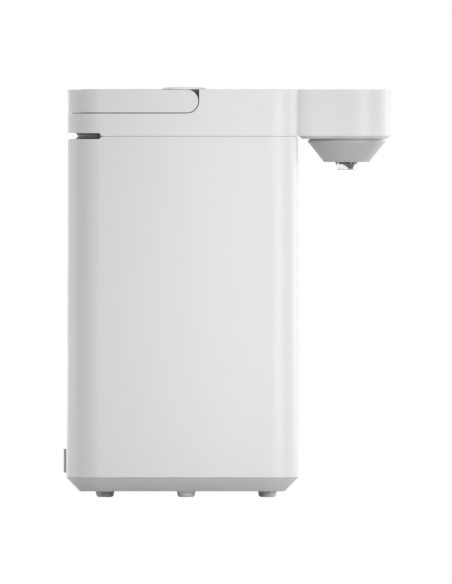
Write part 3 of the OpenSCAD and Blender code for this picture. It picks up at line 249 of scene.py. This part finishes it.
finishes = {
    # ABS covers, moulded in a pale neutral grey-white with a fine satin grain
    "shell_plastic": (mouldedPlastic, "Satin ABS shell",
                      {"colour": "#E2E2E2", "roughness": 0.4, "grain": 1.1, "depth": 0.006}),
    "housing_plastic": (mouldedPlastic, "Satin ABS housing",
                        {"colour": "#E2E2E2", "roughness": 0.4, "grain": 1.1, "depth": 0.006}),
    "lid_plastic": (mouldedPlastic, "Satin ABS lid",
                    {"colour": "#E4E4E4", "roughness": 0.38, "grain": 1.1, "depth": 0.006}),
    "handle_plastic": (mouldedPlastic, "Satin ABS handle",
                       {"colour": "#E2E2E2", "roughness": 0.42, "grain": 1.1, "depth": 0.006}),
    "head_plastic": (mouldedPlastic, "Satin ABS head",
                     {"colour": "#E2E2E2", "roughness": 0.4, "grain": 1.1, "depth": 0.006}),
    # Polypropylene parts low down and under the head, duller than the covers; their grey is the
    # covers' white darkened as painted shade
    "base_plastic": (mouldedPlastic, "Satin polypropylene base, painted shade",
                     {"colour": "#C9C9C9", "roughness": 0.5, "grain": 1.3, "depth": 0.01}),
    "tray_plastic": (mouldedPlastic, "Satin ABS tray, painted shade",
                     {"colour": "#CCCCCC", "roughness": 0.45, "grain": 1.2, "depth": 0.008}),
    # Darkest of these: painted shade for the shade under the head and beside the body
    "cowl_plastic": (mouldedPlastic, "Satin ABS cowl, painted shade",
                     {"colour": "#AEAEAE", "roughness": 0.36, "grain": 1.2, "depth": 0.006}),
    # Dark glass-filled nylon round the vents and matt inner frames
    "vent_plastic": (mouldedPlastic, "Matt nylon vent",
                     {"colour": "#8A8A8A", "roughness": 0.5, "grain": 0.8, "depth": 0.015}),
    "frame_plastic": (mouldedPlastic, "Matt nylon frame",
                      {"colour": "#6C6C70", "roughness": 0.6, "grain": 0.8, "depth": 0.015}),
    "black_plastic": (mouldedPlastic, "Black phenolic",
                      {"colour": "#0A0A0A", "roughness": 0.4, "grain": 0.8, "depth": 0.008}),
    # Grey phenolic resin, which stands the heat of a plug
    "inlet_plastic": (mouldedPlastic, "Grey phenolic inlet",
                      {"colour": "#C6C6C6", "roughness": 0.45, "grain": 0.9, "depth": 0.01}),
    # White polypropylene where food is near, smooth so that it wipes clean
    "inner_plastic": (mouldedPlastic, "Smooth white polypropylene",
                      {"colour": "#E8E8E6", "roughness": 0.32, "grain": 2.0, "depth": 0.004}),
    "latch_plastic": (mouldedPlastic, "Acetal latch",
                      {"colour": "#BEBEBE", "roughness": 0.28, "grain": 2.0, "depth": 0.004}),
    # Polished-tool ABS with a clear lacquer, which mirrors the lamps softly
    "panel_plastic": (mouldedPlastic, "Gloss panel",
                      {"colour": "#D2D2D4", "roughness": 0.22, "grain": 3.0, "depth": 0.002,
                       "coat": 0.6}),
    "key_plastic": (mouldedPlastic, "Gloss key",
                    {"colour": "#EDEDED", "roughness": 0.25, "grain": 3.0, "depth": 0.002,
                     "coat": 0.5}),
    "button_plastic": (silverPaint, "Silver painted button",
                       {"colour": "#CFCFD1", "roughness": 0.38, "metal": 0.5, "flake": 0.35}),
    "display_glass": (mouldedPlastic, "Smoked display window",
                      {"colour": "#0C0C0E", "roughness": 0.12, "grain": 4.0, "depth": 0.001,
                       "coat": 1.0}),
    # Clear styrene acrylonitrile, as thick as a fingernail
    "clear_plastic": (clearPlastic, "Clear outlet",
                      {"colour": "#FAFCFC", "roughness": 0.02, "depth": 0.01}),
    "tank_steel": (workedMetal, "Drawn stainless steel tank",
                   {"colour": "#EDECEA", "roughness": 0.4, "stretch": (0.02, 0.02, 1.0),
                    "line": 1.6, "depth": 0.004, "contrast": 0.4}),
    "steel_parts": (workedMetal, "Turned steel",
                    {"colour": "#A9A9AA", "roughness": 0.32, "stretch": (0.1, 0.1, 1.0),
                     "line": 0.6, "depth": 0.01}),
    "heater_aluminium": (workedMetal, "Cast aluminium",
                         {"colour": "#BFC0C2", "roughness": 0.5, "stretch": (1.0, 1.0, 1.0),
                          "line": 0.8, "depth": 0.04}),
    "contact_brass": (workedMetal, "Bright brass",
                      {"colour": "#D2B26A", "roughness": 0.25, "stretch": (1.0, 0.1, 0.1),
                       "line": 0.5, "depth": 0.006}),
    # Pale rubber whose colour is lifted to near white as painted light, for feet that stand in the
    # shade under the base
    "foot_rubber": (softRubber, "Pale rubber foot, painted light",
                    {"colour": "#FCFCFA", "roughness": 0.5, "glow": 0.3}),
    "seal_silicone": (softRubber, "Pale silicone seal", {"colour": "#CFCFCD", "roughness": 0.5}),
    "hose_silicone": (softRubber, "Milky silicone hose", {"colour": "#DEDDD6", "roughness": 0.4}),
    "wire_sleeve": (softRubber, "Red silicone wire sleeve",
                    {"colour": "#93281E", "roughness": 0.45}),
    "foam": (cellFoam, "Closed-cell foam", {"colour": "#DDD9C9", "cell": 2.2}),
    "circuit_board": (circuitBoard, "Green circuit board",
                      {"colour": "#1C5B36", "track": "#3F8A58"}),
}
materials = {slot: make(name, look) for slot, (make, name, look) in finishes.items()}
for nodeName, node in nodes.items():
    node.data.materials.clear()
    node.data.materials.append(materials[slotOf[nodeName]])
print("materials ready:", len(materials))


# Making of pieces

def mergedCopy(nodeName):
    mesh = bmesh.new()
    mesh.from_mesh(nodes[nodeName].data)
    bmesh.ops.remove_doubles(mesh, verts=mesh.verts, dist=0.004 * mm)
    bmesh.ops.dissolve_limit(mesh, angle_limit=math.radians(0.5), verts=mesh.verts,
                             edges=mesh.edges)
    return mesh


def roundEdges(mesh, radius, bend=50, segments=3):
    edges = [edge for edge in mesh.edges
             if edge.is_manifold and edge.calc_face_angle() > math.radians(bend)]
    bmesh.ops.bevel(mesh, geom=edges, offset=radius, offset_type="OFFSET", affect="EDGES",
                    segments=segments, profile=0.5, material=-1, clamp_overlap=True,
                    loop_slide=True)


# Points of an arc in a profile, from one angle to another in degrees
def arc(centreR, centreZ, radius, start, end, steps=6):
    turns = [math.radians(start + (end - start) * i / steps) for i in range(steps + 1)]
    return [(centreR + radius * math.cos(a), centreZ + radius * math.sin(a)) for a in turns]


# Turns a profile of (radius, height) points, in millimetres, about Z through a centre
def turned(profile, centre, steps=96):
    mesh = bmesh.new()
    points = [mesh.verts.new((radius * mm, 0, height * mm)) for radius, height in profile]
    lines = [mesh.edges.new(pair) for pair in zip(points, points[1:])]
    bmesh.ops.spin(mesh, geom=points + lines, cent=(0, 0, 0), axis=(0, 0, 1),
                   angle=2 * math.pi, steps=steps, use_merge=True)
    bmesh.ops.remove_doubles(mesh, verts=mesh.verts, dist=0.001 * mm)
    bmesh.ops.recalc_face_normals(mesh, faces=mesh.faces)
    bmesh.ops.translate(mesh, verts=mesh.verts, vec=centre)
    return mesh


def finishPiece(name, mesh, nodeName, replaced=True, slot=None, sharp=30, rides=True):
    data = bpy.data.meshes.new(name)
    mesh.to_mesh(data)
    mesh.free()
    data.materials.append(materials[slot or slotOf[nodeName]])
    data.shade_smooth()
    data.set_sharp_from_angle(angle=math.radians(sharp))
    piece = bpy.data.objects.new(name, data)
    scene.collection.objects.link(piece)
    piece.modifiers.new("Even normals", "WEIGHTED_NORMAL").keep_sharp = True
    if rides:
        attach(piece, bodyOf[nodeName])
    if replaced:
        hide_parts(nodeName)
    return piece


# The lowest and the highest corner of a node
def cornersOf(nodeName):
    return [Vector(corner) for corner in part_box(nodeName)]


# The point at z = 0 on the upright axis through the middle of a node
def axisOf(nodeName):
    low, high = cornersOf(nodeName)
    return Vector(((low.x + high.x) / 2, (low.y + high.y) / 2, 0))


# Covers with softened edges. Radius in millimetres, bend in degrees.
softCovers = {
    "outer_shell": {"radius": 0.3},
    "base_pan": {"radius": 0.3, "bend": 28},
    "top_housing": {"radius": 0.35},
    "vent_channel": {"radius": 0.25},
    "handle": {"radius": 0.7},
    "lid_outer": {"radius": 0.45},
    "lid_well": {"radius": 0.3},
    "lid_inner": {"radius": 0.8},
    "lid_latch": {"radius": 0.3},
    "head_cover": {"radius": 0.5},
    "head_tray": {"radius": 0.25},
    "control_panel": {"radius": 0.25},
    "display_window": {"radius": 0.3},
    "power_inlet": {"radius": 0.5},
}


def makeCovers():
    for nodeName, look in softCovers.items():
        mesh = mergedCopy(nodeName)
        roundEdges(mesh, look["radius"] * mm, look.get("bend", 50))
        finishPiece("soft_" + nodeName, mesh, nodeName)
        print("cover ready:", nodeName)


makeCovers()


# Release button: a shallow dome whose rim thins out to nothing
buttonLook = {"dome": 1.8, "flat": 12.5, "crown": 0.15, "depth": 6.6}


def makeButton(look):
    low, high = cornersOf("release_button")
    rim = (high.y - low.y) / 2 / mm
    top = high.z / mm
    bottom = top - look["depth"]
    run = rim - look["flat"]
    slope = [math.radians(9 * i) for i in range(11)]
    shoulder = top - look["crown"]
    dome = [(look["flat"] + run * math.cos(a), shoulder - look["dome"] * (1 - math.sin(a)))
            for a in slope]
    profile = [(0, bottom), (rim, bottom)] + dome + [(look["flat"] * 0.5, top), (0, top)]
    finishPiece("domed_button", turned(profile, axisOf("release_button")), "release_button")


makeButton(buttonLook)


# Springs: smooth copies of their nodes, fixed in place and riding with no body
springLook = {
    "button_spring": {"pushes": "button", "along": (0, 0, 1)},
    "latch_spring": {"pushes": "latch", "along": (1, 0, 0)},
}


def makeSprings(looks):
    for nodeName, look in looks.items():
        spring = finishPiece("wound_" + nodeName, mergedCopy(nodeName), nodeName, sharp=75,
                             rides=False)
        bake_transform(spring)


makeSprings(springLook)


# Keys of the panel: dished for the finger, with a rounded rim
keyLook = {"flange": 1.2, "dish": 0.35, "round": 0.4, "depth": 2.4}


def makeKeys(look):
    for nodeName in ("pouring_key", "left_key", "right_key"):
        low, high = cornersOf(nodeName)
        rim = (high.y - low.y) / 2 / mm - look["flange"]
        top = high.z / mm
        hollow = [(rim * share, top - look["dish"] * (1 - share ** 2)) for share in
                  (0.88, 0.75, 0.6, 0.45, 0.3, 0.15, 0)]
        profile = ([(0, top - look["depth"]), (rim, top - look["depth"])]
                   + arc(rim - look["round"], top - look["round"], look["round"], 0, 90) + hollow)
        finishPiece("dished_" + nodeName, turned(profile, axisOf(nodeName), 64), nodeName)


makeKeys(keyLook)


# Three unlit lamps between the keys
indicatorLook = {"radius": 1.1, "pitch": 5.0, "behindKey": 21.0, "proud": 0.25, "sunk": 0.4}


def makeIndicators(look):
    top = cornersOf("control_panel")[1].z / mm
    bend = [math.radians(a) for a in (0, 20, 40, 60, 75, 90)]
    for i in (-1, 0, 1):
        centre = axisOf("pouring_key") + Vector((-look["behindKey"], i * look["pitch"], 0)) * mm
        profile = [(look["radius"], top - look["sunk"])] + [
            (look["radius"] * math.cos(a), top + look["proud"] * math.sin(a)) for a in bend]
        finishPiece(f"indicator_{i + 2}", turned(profile, centre, 24), "control_panel", False,
                    "clear_plastic")


makeIndicators(indicatorLook)


# Feet: a thin flange against the base and a rubber body with a round sole, hollow underneath
footLook = {"flange": 7.9, "flangeHeight": 1.0, "flangeRound": 0.4, "gap": 0.05, "fillet": 0.1,
            "body": 7.55, "round": 2.6, "hollow": 3.6, "hollowSlope": 0.5, "sunk": 0.7}


def makeFeet(look):
    top = cornersOf("base_pan")[0].z / mm - look["gap"]
    flangeBottom = top - look["flangeHeight"]
    profile = ([(0, look["sunk"]), (look["hollow"] - look["hollowSlope"], look["sunk"]),
                (look["hollow"], 0)]
               + arc(look["body"] - look["round"], look["round"], look["round"], -90, 0, 8)
               + [(look["body"] + look["fillet"], flangeBottom - look["fillet"])]
               + arc(look["flange"] - look["flangeRound"], flangeBottom + look["flangeRound"],
                     look["flangeRound"], -90, 0, 4)
               + [(look["flange"], top), (0, top)])
    for nodeName in ("foot_front", "foot_rear", "foot_left", "foot_right"):
        finishPiece("rubber_" + nodeName, turned(profile, axisOf(nodeName), 64), nodeName)


makeFeet(footLook)


# Cowl: a recessed neck, a rounded rim with a fine ledge under it, and the cone
cowlLook = {"neck": 31.3, "neckHeight": 0.8, "rim": 3.4, "rimRound": 0.5, "ledge": 1.1,
            "ledgeHeight": 0.4, "ledgeRound": 0.35, "low": 19.8, "lowRound": 0.7,
            "wall": 2.0, "hole": 5.4}


def makeCowl(look):
    low, high = cornersOf("nozzle_cowl")
    bottom, top = low.z / mm, high.z / mm
    rim = (high.x - low.x) / 2 / mm
    ledge = top - look["rim"]
    neck = top - look["neckHeight"]
    lowRound, ledgeRound, rimRound = look["lowRound"], look["ledgeRound"], look["rimRound"]
    profile = ([(look["hole"], bottom + look["wall"]), (look["hole"], bottom)]
               + arc(look["low"] - lowRound - 0.2, bottom + lowRound, lowRound, -90, -40, 4)
               + [(rim - look["ledge"], ledge - look["ledgeHeight"] - 0.1),
                  (rim - rimRound, ledge - 0.1)]
               + arc(rim - ledgeRound, ledge + look["ledgeHeight"], ledgeRound, -60, 0, 4)
               + arc(rim - rimRound, neck - rimRound, rimRound, 0, 90, 4)
               + [(look["neck"], neck), (look["neck"], top),
                  (look["neck"] - look["wall"], top), (look["neck"] - look["wall"], ledge),
                  (look["low"] - look["wall"], bottom + look["wall"]),
                  (look["hole"], bottom + look["wall"])])
    finishPiece("spun_cowl", turned(profile, axisOf("nozzle_cowl"), 128), "nozzle_cowl", sharp=24)


makeCowl(cowlLook)


# Clear outlet with a beaded lip, and the black flow guide that leans to the front inside it
outletLook = {"wall": 1.2, "spigot": 5.0, "spigotHeight": 6.0, "water": 3.4, "taper": 1.7,
              "lip": 0.45, "chamfer": 0.3,
              "rings": ((4.6, 6.2, 1.7), (3.9, 5.9, 1.9), (3.7, 5.2, 2.0), (2.6, 4.5, 2.5),
                        (2.4, 3.9, 2.6), (1.3, 3.1, 3.1), (1.1, 2.5, 3.2), (0.2, 1.8, 3.6))}


def makeOutlet(look):
    low, high = cornersOf("outlet_nozzle")
    axis = axisOf("outlet_nozzle")
    bottom = low.z / mm
    mouth = cornersOf("nozzle_cowl")[0].z / mm
    wide = (high.x - low.x) / 2 / mm
    narrow = wide - look["taper"]
    spigotTop = mouth + look["spigotHeight"]
    profile = ([(look["water"], mouth - look["wall"]),
                (wide - look["wall"] - look["chamfer"], mouth - look["wall"]),
                (wide - look["wall"], mouth - look["wall"] - 0.5),
                (narrow - look["wall"], bottom + 2 * look["lip"])]
               + arc(narrow - look["lip"] - 0.2, bottom + look["lip"], look["lip"], 180, 360, 10)
               + [(narrow - 0.1, bottom + 0.95), (narrow + 0.1, bottom + 1.3),
                  (wide, mouth - look["chamfer"]), (wide, mouth), (look["spigot"], mouth),
                  (look["spigot"], spigotTop), (look["water"], spigotTop),
                  (look["water"], mouth - look["wall"])])
    finishPiece("clear_outlet", turned(profile, axis, 96), "outlet_nozzle", sharp=45)

    floor = cornersOf("flow_insert")[0].z
    mesh = bmesh.new()
    loops = []
    for height, radius, lean in look["rings"]:
        circle = bmesh.ops.create_circle(mesh, segments=48, radius=radius * mm)["verts"]
        place = axis + Vector((lean * mm, 0, floor + height * mm))
        bmesh.ops.translate(mesh, verts=circle, vec=place)
        loops.append(list({edge for vert in circle for edge in vert.link_edges}))
    for upper, lower in zip(loops, loops[1:]):
        bmesh.ops.bridge_loops(mesh, edges=upper + lower)
    bmesh.ops.holes_fill(mesh, edges=loops[0] + loops[-1], sides=48)
    bmesh.ops.recalc_face_normals(mesh, faces=mesh.faces)
    finishPiece("flow_guide", mesh, "flow_insert")


makeOutlet(outletLook)


# Lid seal: a flange under the plug and a soft lip that bends against the tank's mouth
sealLook = {"inner": 62.0, "flange": 66.0, "height": 4.2, "ridge": 0.6, "ridgeAt": 2.6,
            "lip": 68.0, "lipTip": 0.5, "lipRoot": 2.3}


def makeSeal(look):
    base = cornersOf("lid_seal")[0].z / mm
    ridge, tip = look["ridge"], look["lipTip"]
    profile = ([(look["inner"], base + 1.0), (look["inner"] + 0.5, base + 0.5)]
               + arc(look["inner"] + look["ridgeAt"], base + ridge, ridge, 180, 360, 6)
               + [(look["inner"] + look["ridgeAt"] + 1.0, base + 0.7)]
               + arc(look["lip"] - 2 * tip, base + tip, tip, 200, 360, 6)
               + [(look["lip"], base + 0.9), (look["lip"] - 0.7, base + 1.6),
                  (look["flange"], base + look["lipRoot"]),
                  (look["flange"], base + look["height"]),
                  (look["inner"], base + look["height"]), (look["inner"], base + 1.0)])
    finishPiece("lipped_seal", turned(profile, axisOf("lid_seal"), 128), "lid_seal", sharp=50)


makeSeal(sealLook)


# Steam valve: a cap with a ring of ports round a small boss
valveLook = {"cap": 8.0, "capHeight": 2.8, "stem": 4.0, "boss": 2.2, "ringInner": 2.9,
             "ringOuter": 5.6, "ringDepth": 0.6, "ports": 8, "open": 0.62, "web": 0.12,
             "sunk": 1.2}


def makeValve(look):
    low, high = cornersOf("steam_valve")
    axis = axisOf("steam_valve")
    base, top = low.z / mm, high.z / mm
    depth = look["ringDepth"]
    shoulder = base + look["capHeight"]
    profile = [(0, base), (look["boss"] - 0.4, base), (look["boss"], base + depth - 0.1),
               (look["ringInner"], base + depth), (look["ringOuter"], base + depth),
               (look["ringOuter"] + depth, base), (look["cap"] - depth, base),
               (look["cap"], base + depth), (look["cap"], shoulder), (look["stem"], shoulder),
               (look["stem"], top), (0, top)]
    steps = look["ports"] * 6
    mesh = turned(profile, axis, steps)
    ring = [face for face in mesh.faces
            if abs(face.calc_center_median().z - low.z - depth * mm) < 0.01 * mm]
    ports = []
    for face in ring:
        away = face.calc_center_median() - axis
        share = math.atan2(away.y, away.x) / (2 * math.pi) * look["ports"] % 1
        if share < look["open"]:
            ports.append(face)
    bmesh.ops.inset_region(mesh, faces=ports, thickness=look["web"] * mm,
                           depth=-look["sunk"] * mm)
    finishPiece("ported_valve", mesh, "steam_valve")


makeValve(valveLook)


# Bead pressed into the tank's wall as its fill line
beadLook = {"tankRadius": 81.5, "wall": 1.0, "height": 226.0, "proud": 0.9, "sunk": 0.05,
            "half": 2.2}


def makeFillBead(look):
    inside = look["tankRadius"] - look["wall"]
    bend = [math.radians(a) for a in range(-90, 91, 15)]
    rise = [(inside + look["sunk"] - look["proud"] * math.cos(a),
             look["height"] + look["half"] * math.sin(a)) for a in bend]
    finishPiece("fill_bead", turned(rise, axisOf("inner_tank"), 128), "inner_tank", False)


makeFillBead(beadLook)
print("turned pieces ready")


# Radius of the body's upright corners
cornerRadius = 29.0 * mm

# Painted shade: a dark sheet laid on the faces that bound the handle's recess, where there is only
# shade
recessShadeLook = {"depth": 12.2, "below": 0.6, "past": 10.4, "lift": 0.12}


# How far a point lies inside the outline of the body, seen from above
def insetAt(point):
    low, high = cornersOf("outer_shell")
    axis = axisOf("outer_shell")
    acrossX = abs(point.x - axis.x) - (high.x - low.x) / 2 + cornerRadius
    acrossY = abs(point.y) - (high.y - low.y) / 2 + cornerRadius
    if acrossX > 0 and acrossY > 0:
        return cornerRadius - math.hypot(acrossX, acrossY)
    return cornerRadius - max(acrossX, acrossY)


def makePaintedRecessShade(look):
    low, high = cornersOf("handle")
    pivotX = high.x - (high.z - low.z) / 2
    slack = 0.06 * mm

    def inRecess(point):
        inset = insetAt(point)
        return (-slack < inset < look["depth"] * mm + slack
                and point.z > low.z - look["below"] * mm - slack
                and point.x < pivotX + look["past"] * mm + slack)

    mesh = mergedCopy("top_housing")
    others = [face for face in mesh.faces if not all(inRecess(vert.co) for vert in face.verts)]
    bmesh.ops.delete(mesh, geom=others, context="FACES")
    mesh.normal_update()
    for vert in mesh.verts:
        vert.co += vert.normal * look["lift"] * mm
    print("liner faces:", len(mesh.faces))
    # The sheet is painted shade, in the dark frame plastic
    finishPiece("recess_painted_shade", mesh, "top_housing", False, "frame_plastic")


makePaintedRecessShade(recessShadeLook)


# A flat strip that follows the outline of the body, some way inside it, from one side
# round the front or the rear to the other side
def wrapStrip(outer, inner, bottom, top, endX, towards, cornerSteps=16):
    low, high = cornersOf("outer_shell")
    turns = [math.pi / 2 * i / cornerSteps for i in range(cornerSteps + 1)]

    def path(inset):
        edgeX = high.x if towards > 0 else low.x
        centreX, centreY = edgeX - towards * cornerRadius, high.y - cornerRadius
        reach = cornerRadius - inset
        half = [(endX, high.y - inset)] + [(centreX + towards * reach * math.sin(a),
                                            centreY + reach * math.cos(a)) for a in turns]
        return half + [(x, -y) for x, y in reversed(half)]

    mesh = bmesh.new()
    rows = [[mesh.verts.new((x, y, z)) for x, y in path(inset)]
            for inset, z in ((outer, bottom), (outer, top), (inner, top), (inner, bottom))]
    for first, second in zip(rows, rows[1:] + rows[:1]):
        for i in range(len(first) - 1):
            mesh.faces.new((first[i], first[i + 1], second[i + 1], second[i]))
    for i in (0, -1):
        mesh.faces.new([row[i] for row in rows])
    bmesh.ops.recalc_face_normals(mesh, faces=mesh.faces)
    return mesh


# Lip of the shell that closes the seam under the housing a little way in
lipLook = {"inset": 1.3, "thickness": 0.8, "overlap": 0.4, "seam": 0.8, "slotEnd": 31.5}


def makeSeamLip(look):
    low, high = cornersOf("outer_shell")
    mesh = wrapStrip(look["inset"] * mm, (look["inset"] + look["thickness"]) * mm,
                     high.z - look["overlap"] * mm,
                     high.z + (look["seam"] + look["overlap"]) * mm,
                     low.x + look["slotEnd"] * mm, 1)
    finishPiece("seam_lip", mesh, "outer_shell", False)


makeSeamLip(lipLook)


# Buffer on the floor of the recess, on which the handle comes to rest
bufferLook = {"outer": 5.0, "inner": 11.2, "under": 0.14, "thickness": 0.5}


def makeBuffer(look):
    low, high = cornersOf("handle")
    top = low.z - look["under"] * mm
    pivotX = high.x - (high.z - low.z) / 2
    mesh = wrapStrip(look["outer"] * mm, look["inner"] * mm, top - look["thickness"] * mm, top,
                     pivotX, -1)
    finishPiece("handle_buffer", mesh, "top_housing", False, "frame_plastic")


makeBuffer(bufferLook)
print("liner and lip ready")


# Stage and lamps

stageLook = {
    "floorRadius": 1.3,
    "floorColour": "#F2F2F2",
    # Light that takes the floor to white where it is seen, less of it near the part
    "lift": {"nearest": 0.34, "farthest": 0.95, "from": 0.25, "to": 0.75},
    "ambient": 0.39,
}
lamps = {
    "near": {"at": (0.015, -0.27, 0.2), "size": (0.08, 0.52), "watts": 0.136},
    "low": {"at": (0.1, -1.6, 0.04), "size": (0.9, 0.08), "watts": 1.8},
    "rightFront": {"at": (0.95, -0.85, 0.2), "size": (0.5, 0.38), "watts": 4.0},
    "rightRear": {"at": (1.1, 0.75, 0.25), "size": (1.0, 0.5), "watts": 3.8},
    "rim": {"at": (-1.2, 0.2, 0.18), "size": (0.7, 0.34), "watts": 1.85},
    "top": {"at": (0.1, 0.1, 1.5), "size": (1.0, 1.0), "watts": 5},
    "rear": {"at": (-0.75, 1.2, 0.35), "size": (0.7, 0.6), "watts": 3.4},
}


# Which rays see the white studio: the camera's own, mirrored ones and those through glass
def seenRays(tree):
    path = addNode(tree, "ShaderNodeLightPath")
    direct = addNode(tree, "ShaderNodeMath", {"operation": "MAXIMUM"},
                     {0: path.outputs["Is Camera Ray"], 1: path.outputs["Is Glossy Ray"]})
    return addNode(tree, "ShaderNodeMath", {"operation": "MAXIMUM"},
                   {0: direct.outputs["Value"], 1: path.outputs["Is Transmission Ray"]})


def makeStage(look):
    material, tree = newMaterial("White studio floor")
    place = addNode(tree, "ShaderNodeTexCoord").outputs["Object"]
    away = addNode(tree, "ShaderNodeVectorMath", {"operation": "LENGTH"}, {0: place})
    level = addNode(tree, "ShaderNodeMapRange", {"From Min": look["lift"]["from"],
                    "From Max": look["lift"]["to"], "To Min": look["lift"]["nearest"],
                    "To Max": look["lift"]["farthest"]}, {"Value": away.outputs["Value"]})
    lift = addNode(tree, "ShaderNodeMath", {"operation": "MULTIPLY"},
                   {0: seenRays(tree).outputs["Value"], 1: level.outputs["Result"]})
    paint = addNode(tree, "ShaderNodeBsdfDiffuse", {"Color": linearColour(look["floorColour"])})
    glow = addNode(tree, "ShaderNodeEmission", None, {"Strength": lift.outputs["Value"]})
    both = addNode(tree, "ShaderNodeAddShader", None,
                   {0: paint.outputs["BSDF"], 1: glow.outputs["Emission"]})
    addNode(tree, "ShaderNodeOutputMaterial", None, {"Surface": both.outputs["Shader"]})
    mesh = bmesh.new()
    bmesh.ops.create_circle(mesh, cap_ends=True, segments=96, radius=look["floorRadius"])
    bmesh.ops.translate(mesh, verts=mesh.verts, vec=(0, 0, -0.05 * mm))
    data = bpy.data.meshes.new("Floor")
    mesh.to_mesh(data)
    mesh.free()
    data.materials.append(material)
    floor = bpy.data.objects.new("Floor", data)
    scene.collection.objects.link(floor)

    world = bpy.data.worlds.new("White studio")
    world.use_nodes = True
    tree = world.node_tree
    tree.nodes.clear()
    level = addNode(tree, "ShaderNodeMapRange", {"To Min": look["ambient"], "To Max": 1.0},
                    {"Value": seenRays(tree).outputs["Value"]})
    sky = addNode(tree, "ShaderNodeBackground", {"Color": (1, 1, 1, 1)},
                  {"Strength": level.outputs["Result"]})
    addNode(tree, "ShaderNodeOutputWorld", None, {"Surface": sky.outputs["Background"]})
    scene.world = world


def makeLamps(aim=(0.0, 0.0, 0.17)):
    for name, look in lamps.items():
        light = bpy.data.lights.new(name, "AREA")
        light.shape = "RECTANGLE"
        light.size, light.size_y = look["size"]
        light.energy = look["watts"]
        lamp = bpy.data.objects.new(name, light)
        lamp.location = look["at"]
        lamp.rotation_euler = (Vector(aim) - Vector(look["at"])).to_track_quat("-Z", "Y").to_euler()
        lamp.visible_camera = False
        scene.collection.objects.link(lamp)


makeStage(stageLook)
makeLamps()
print("stage ready")
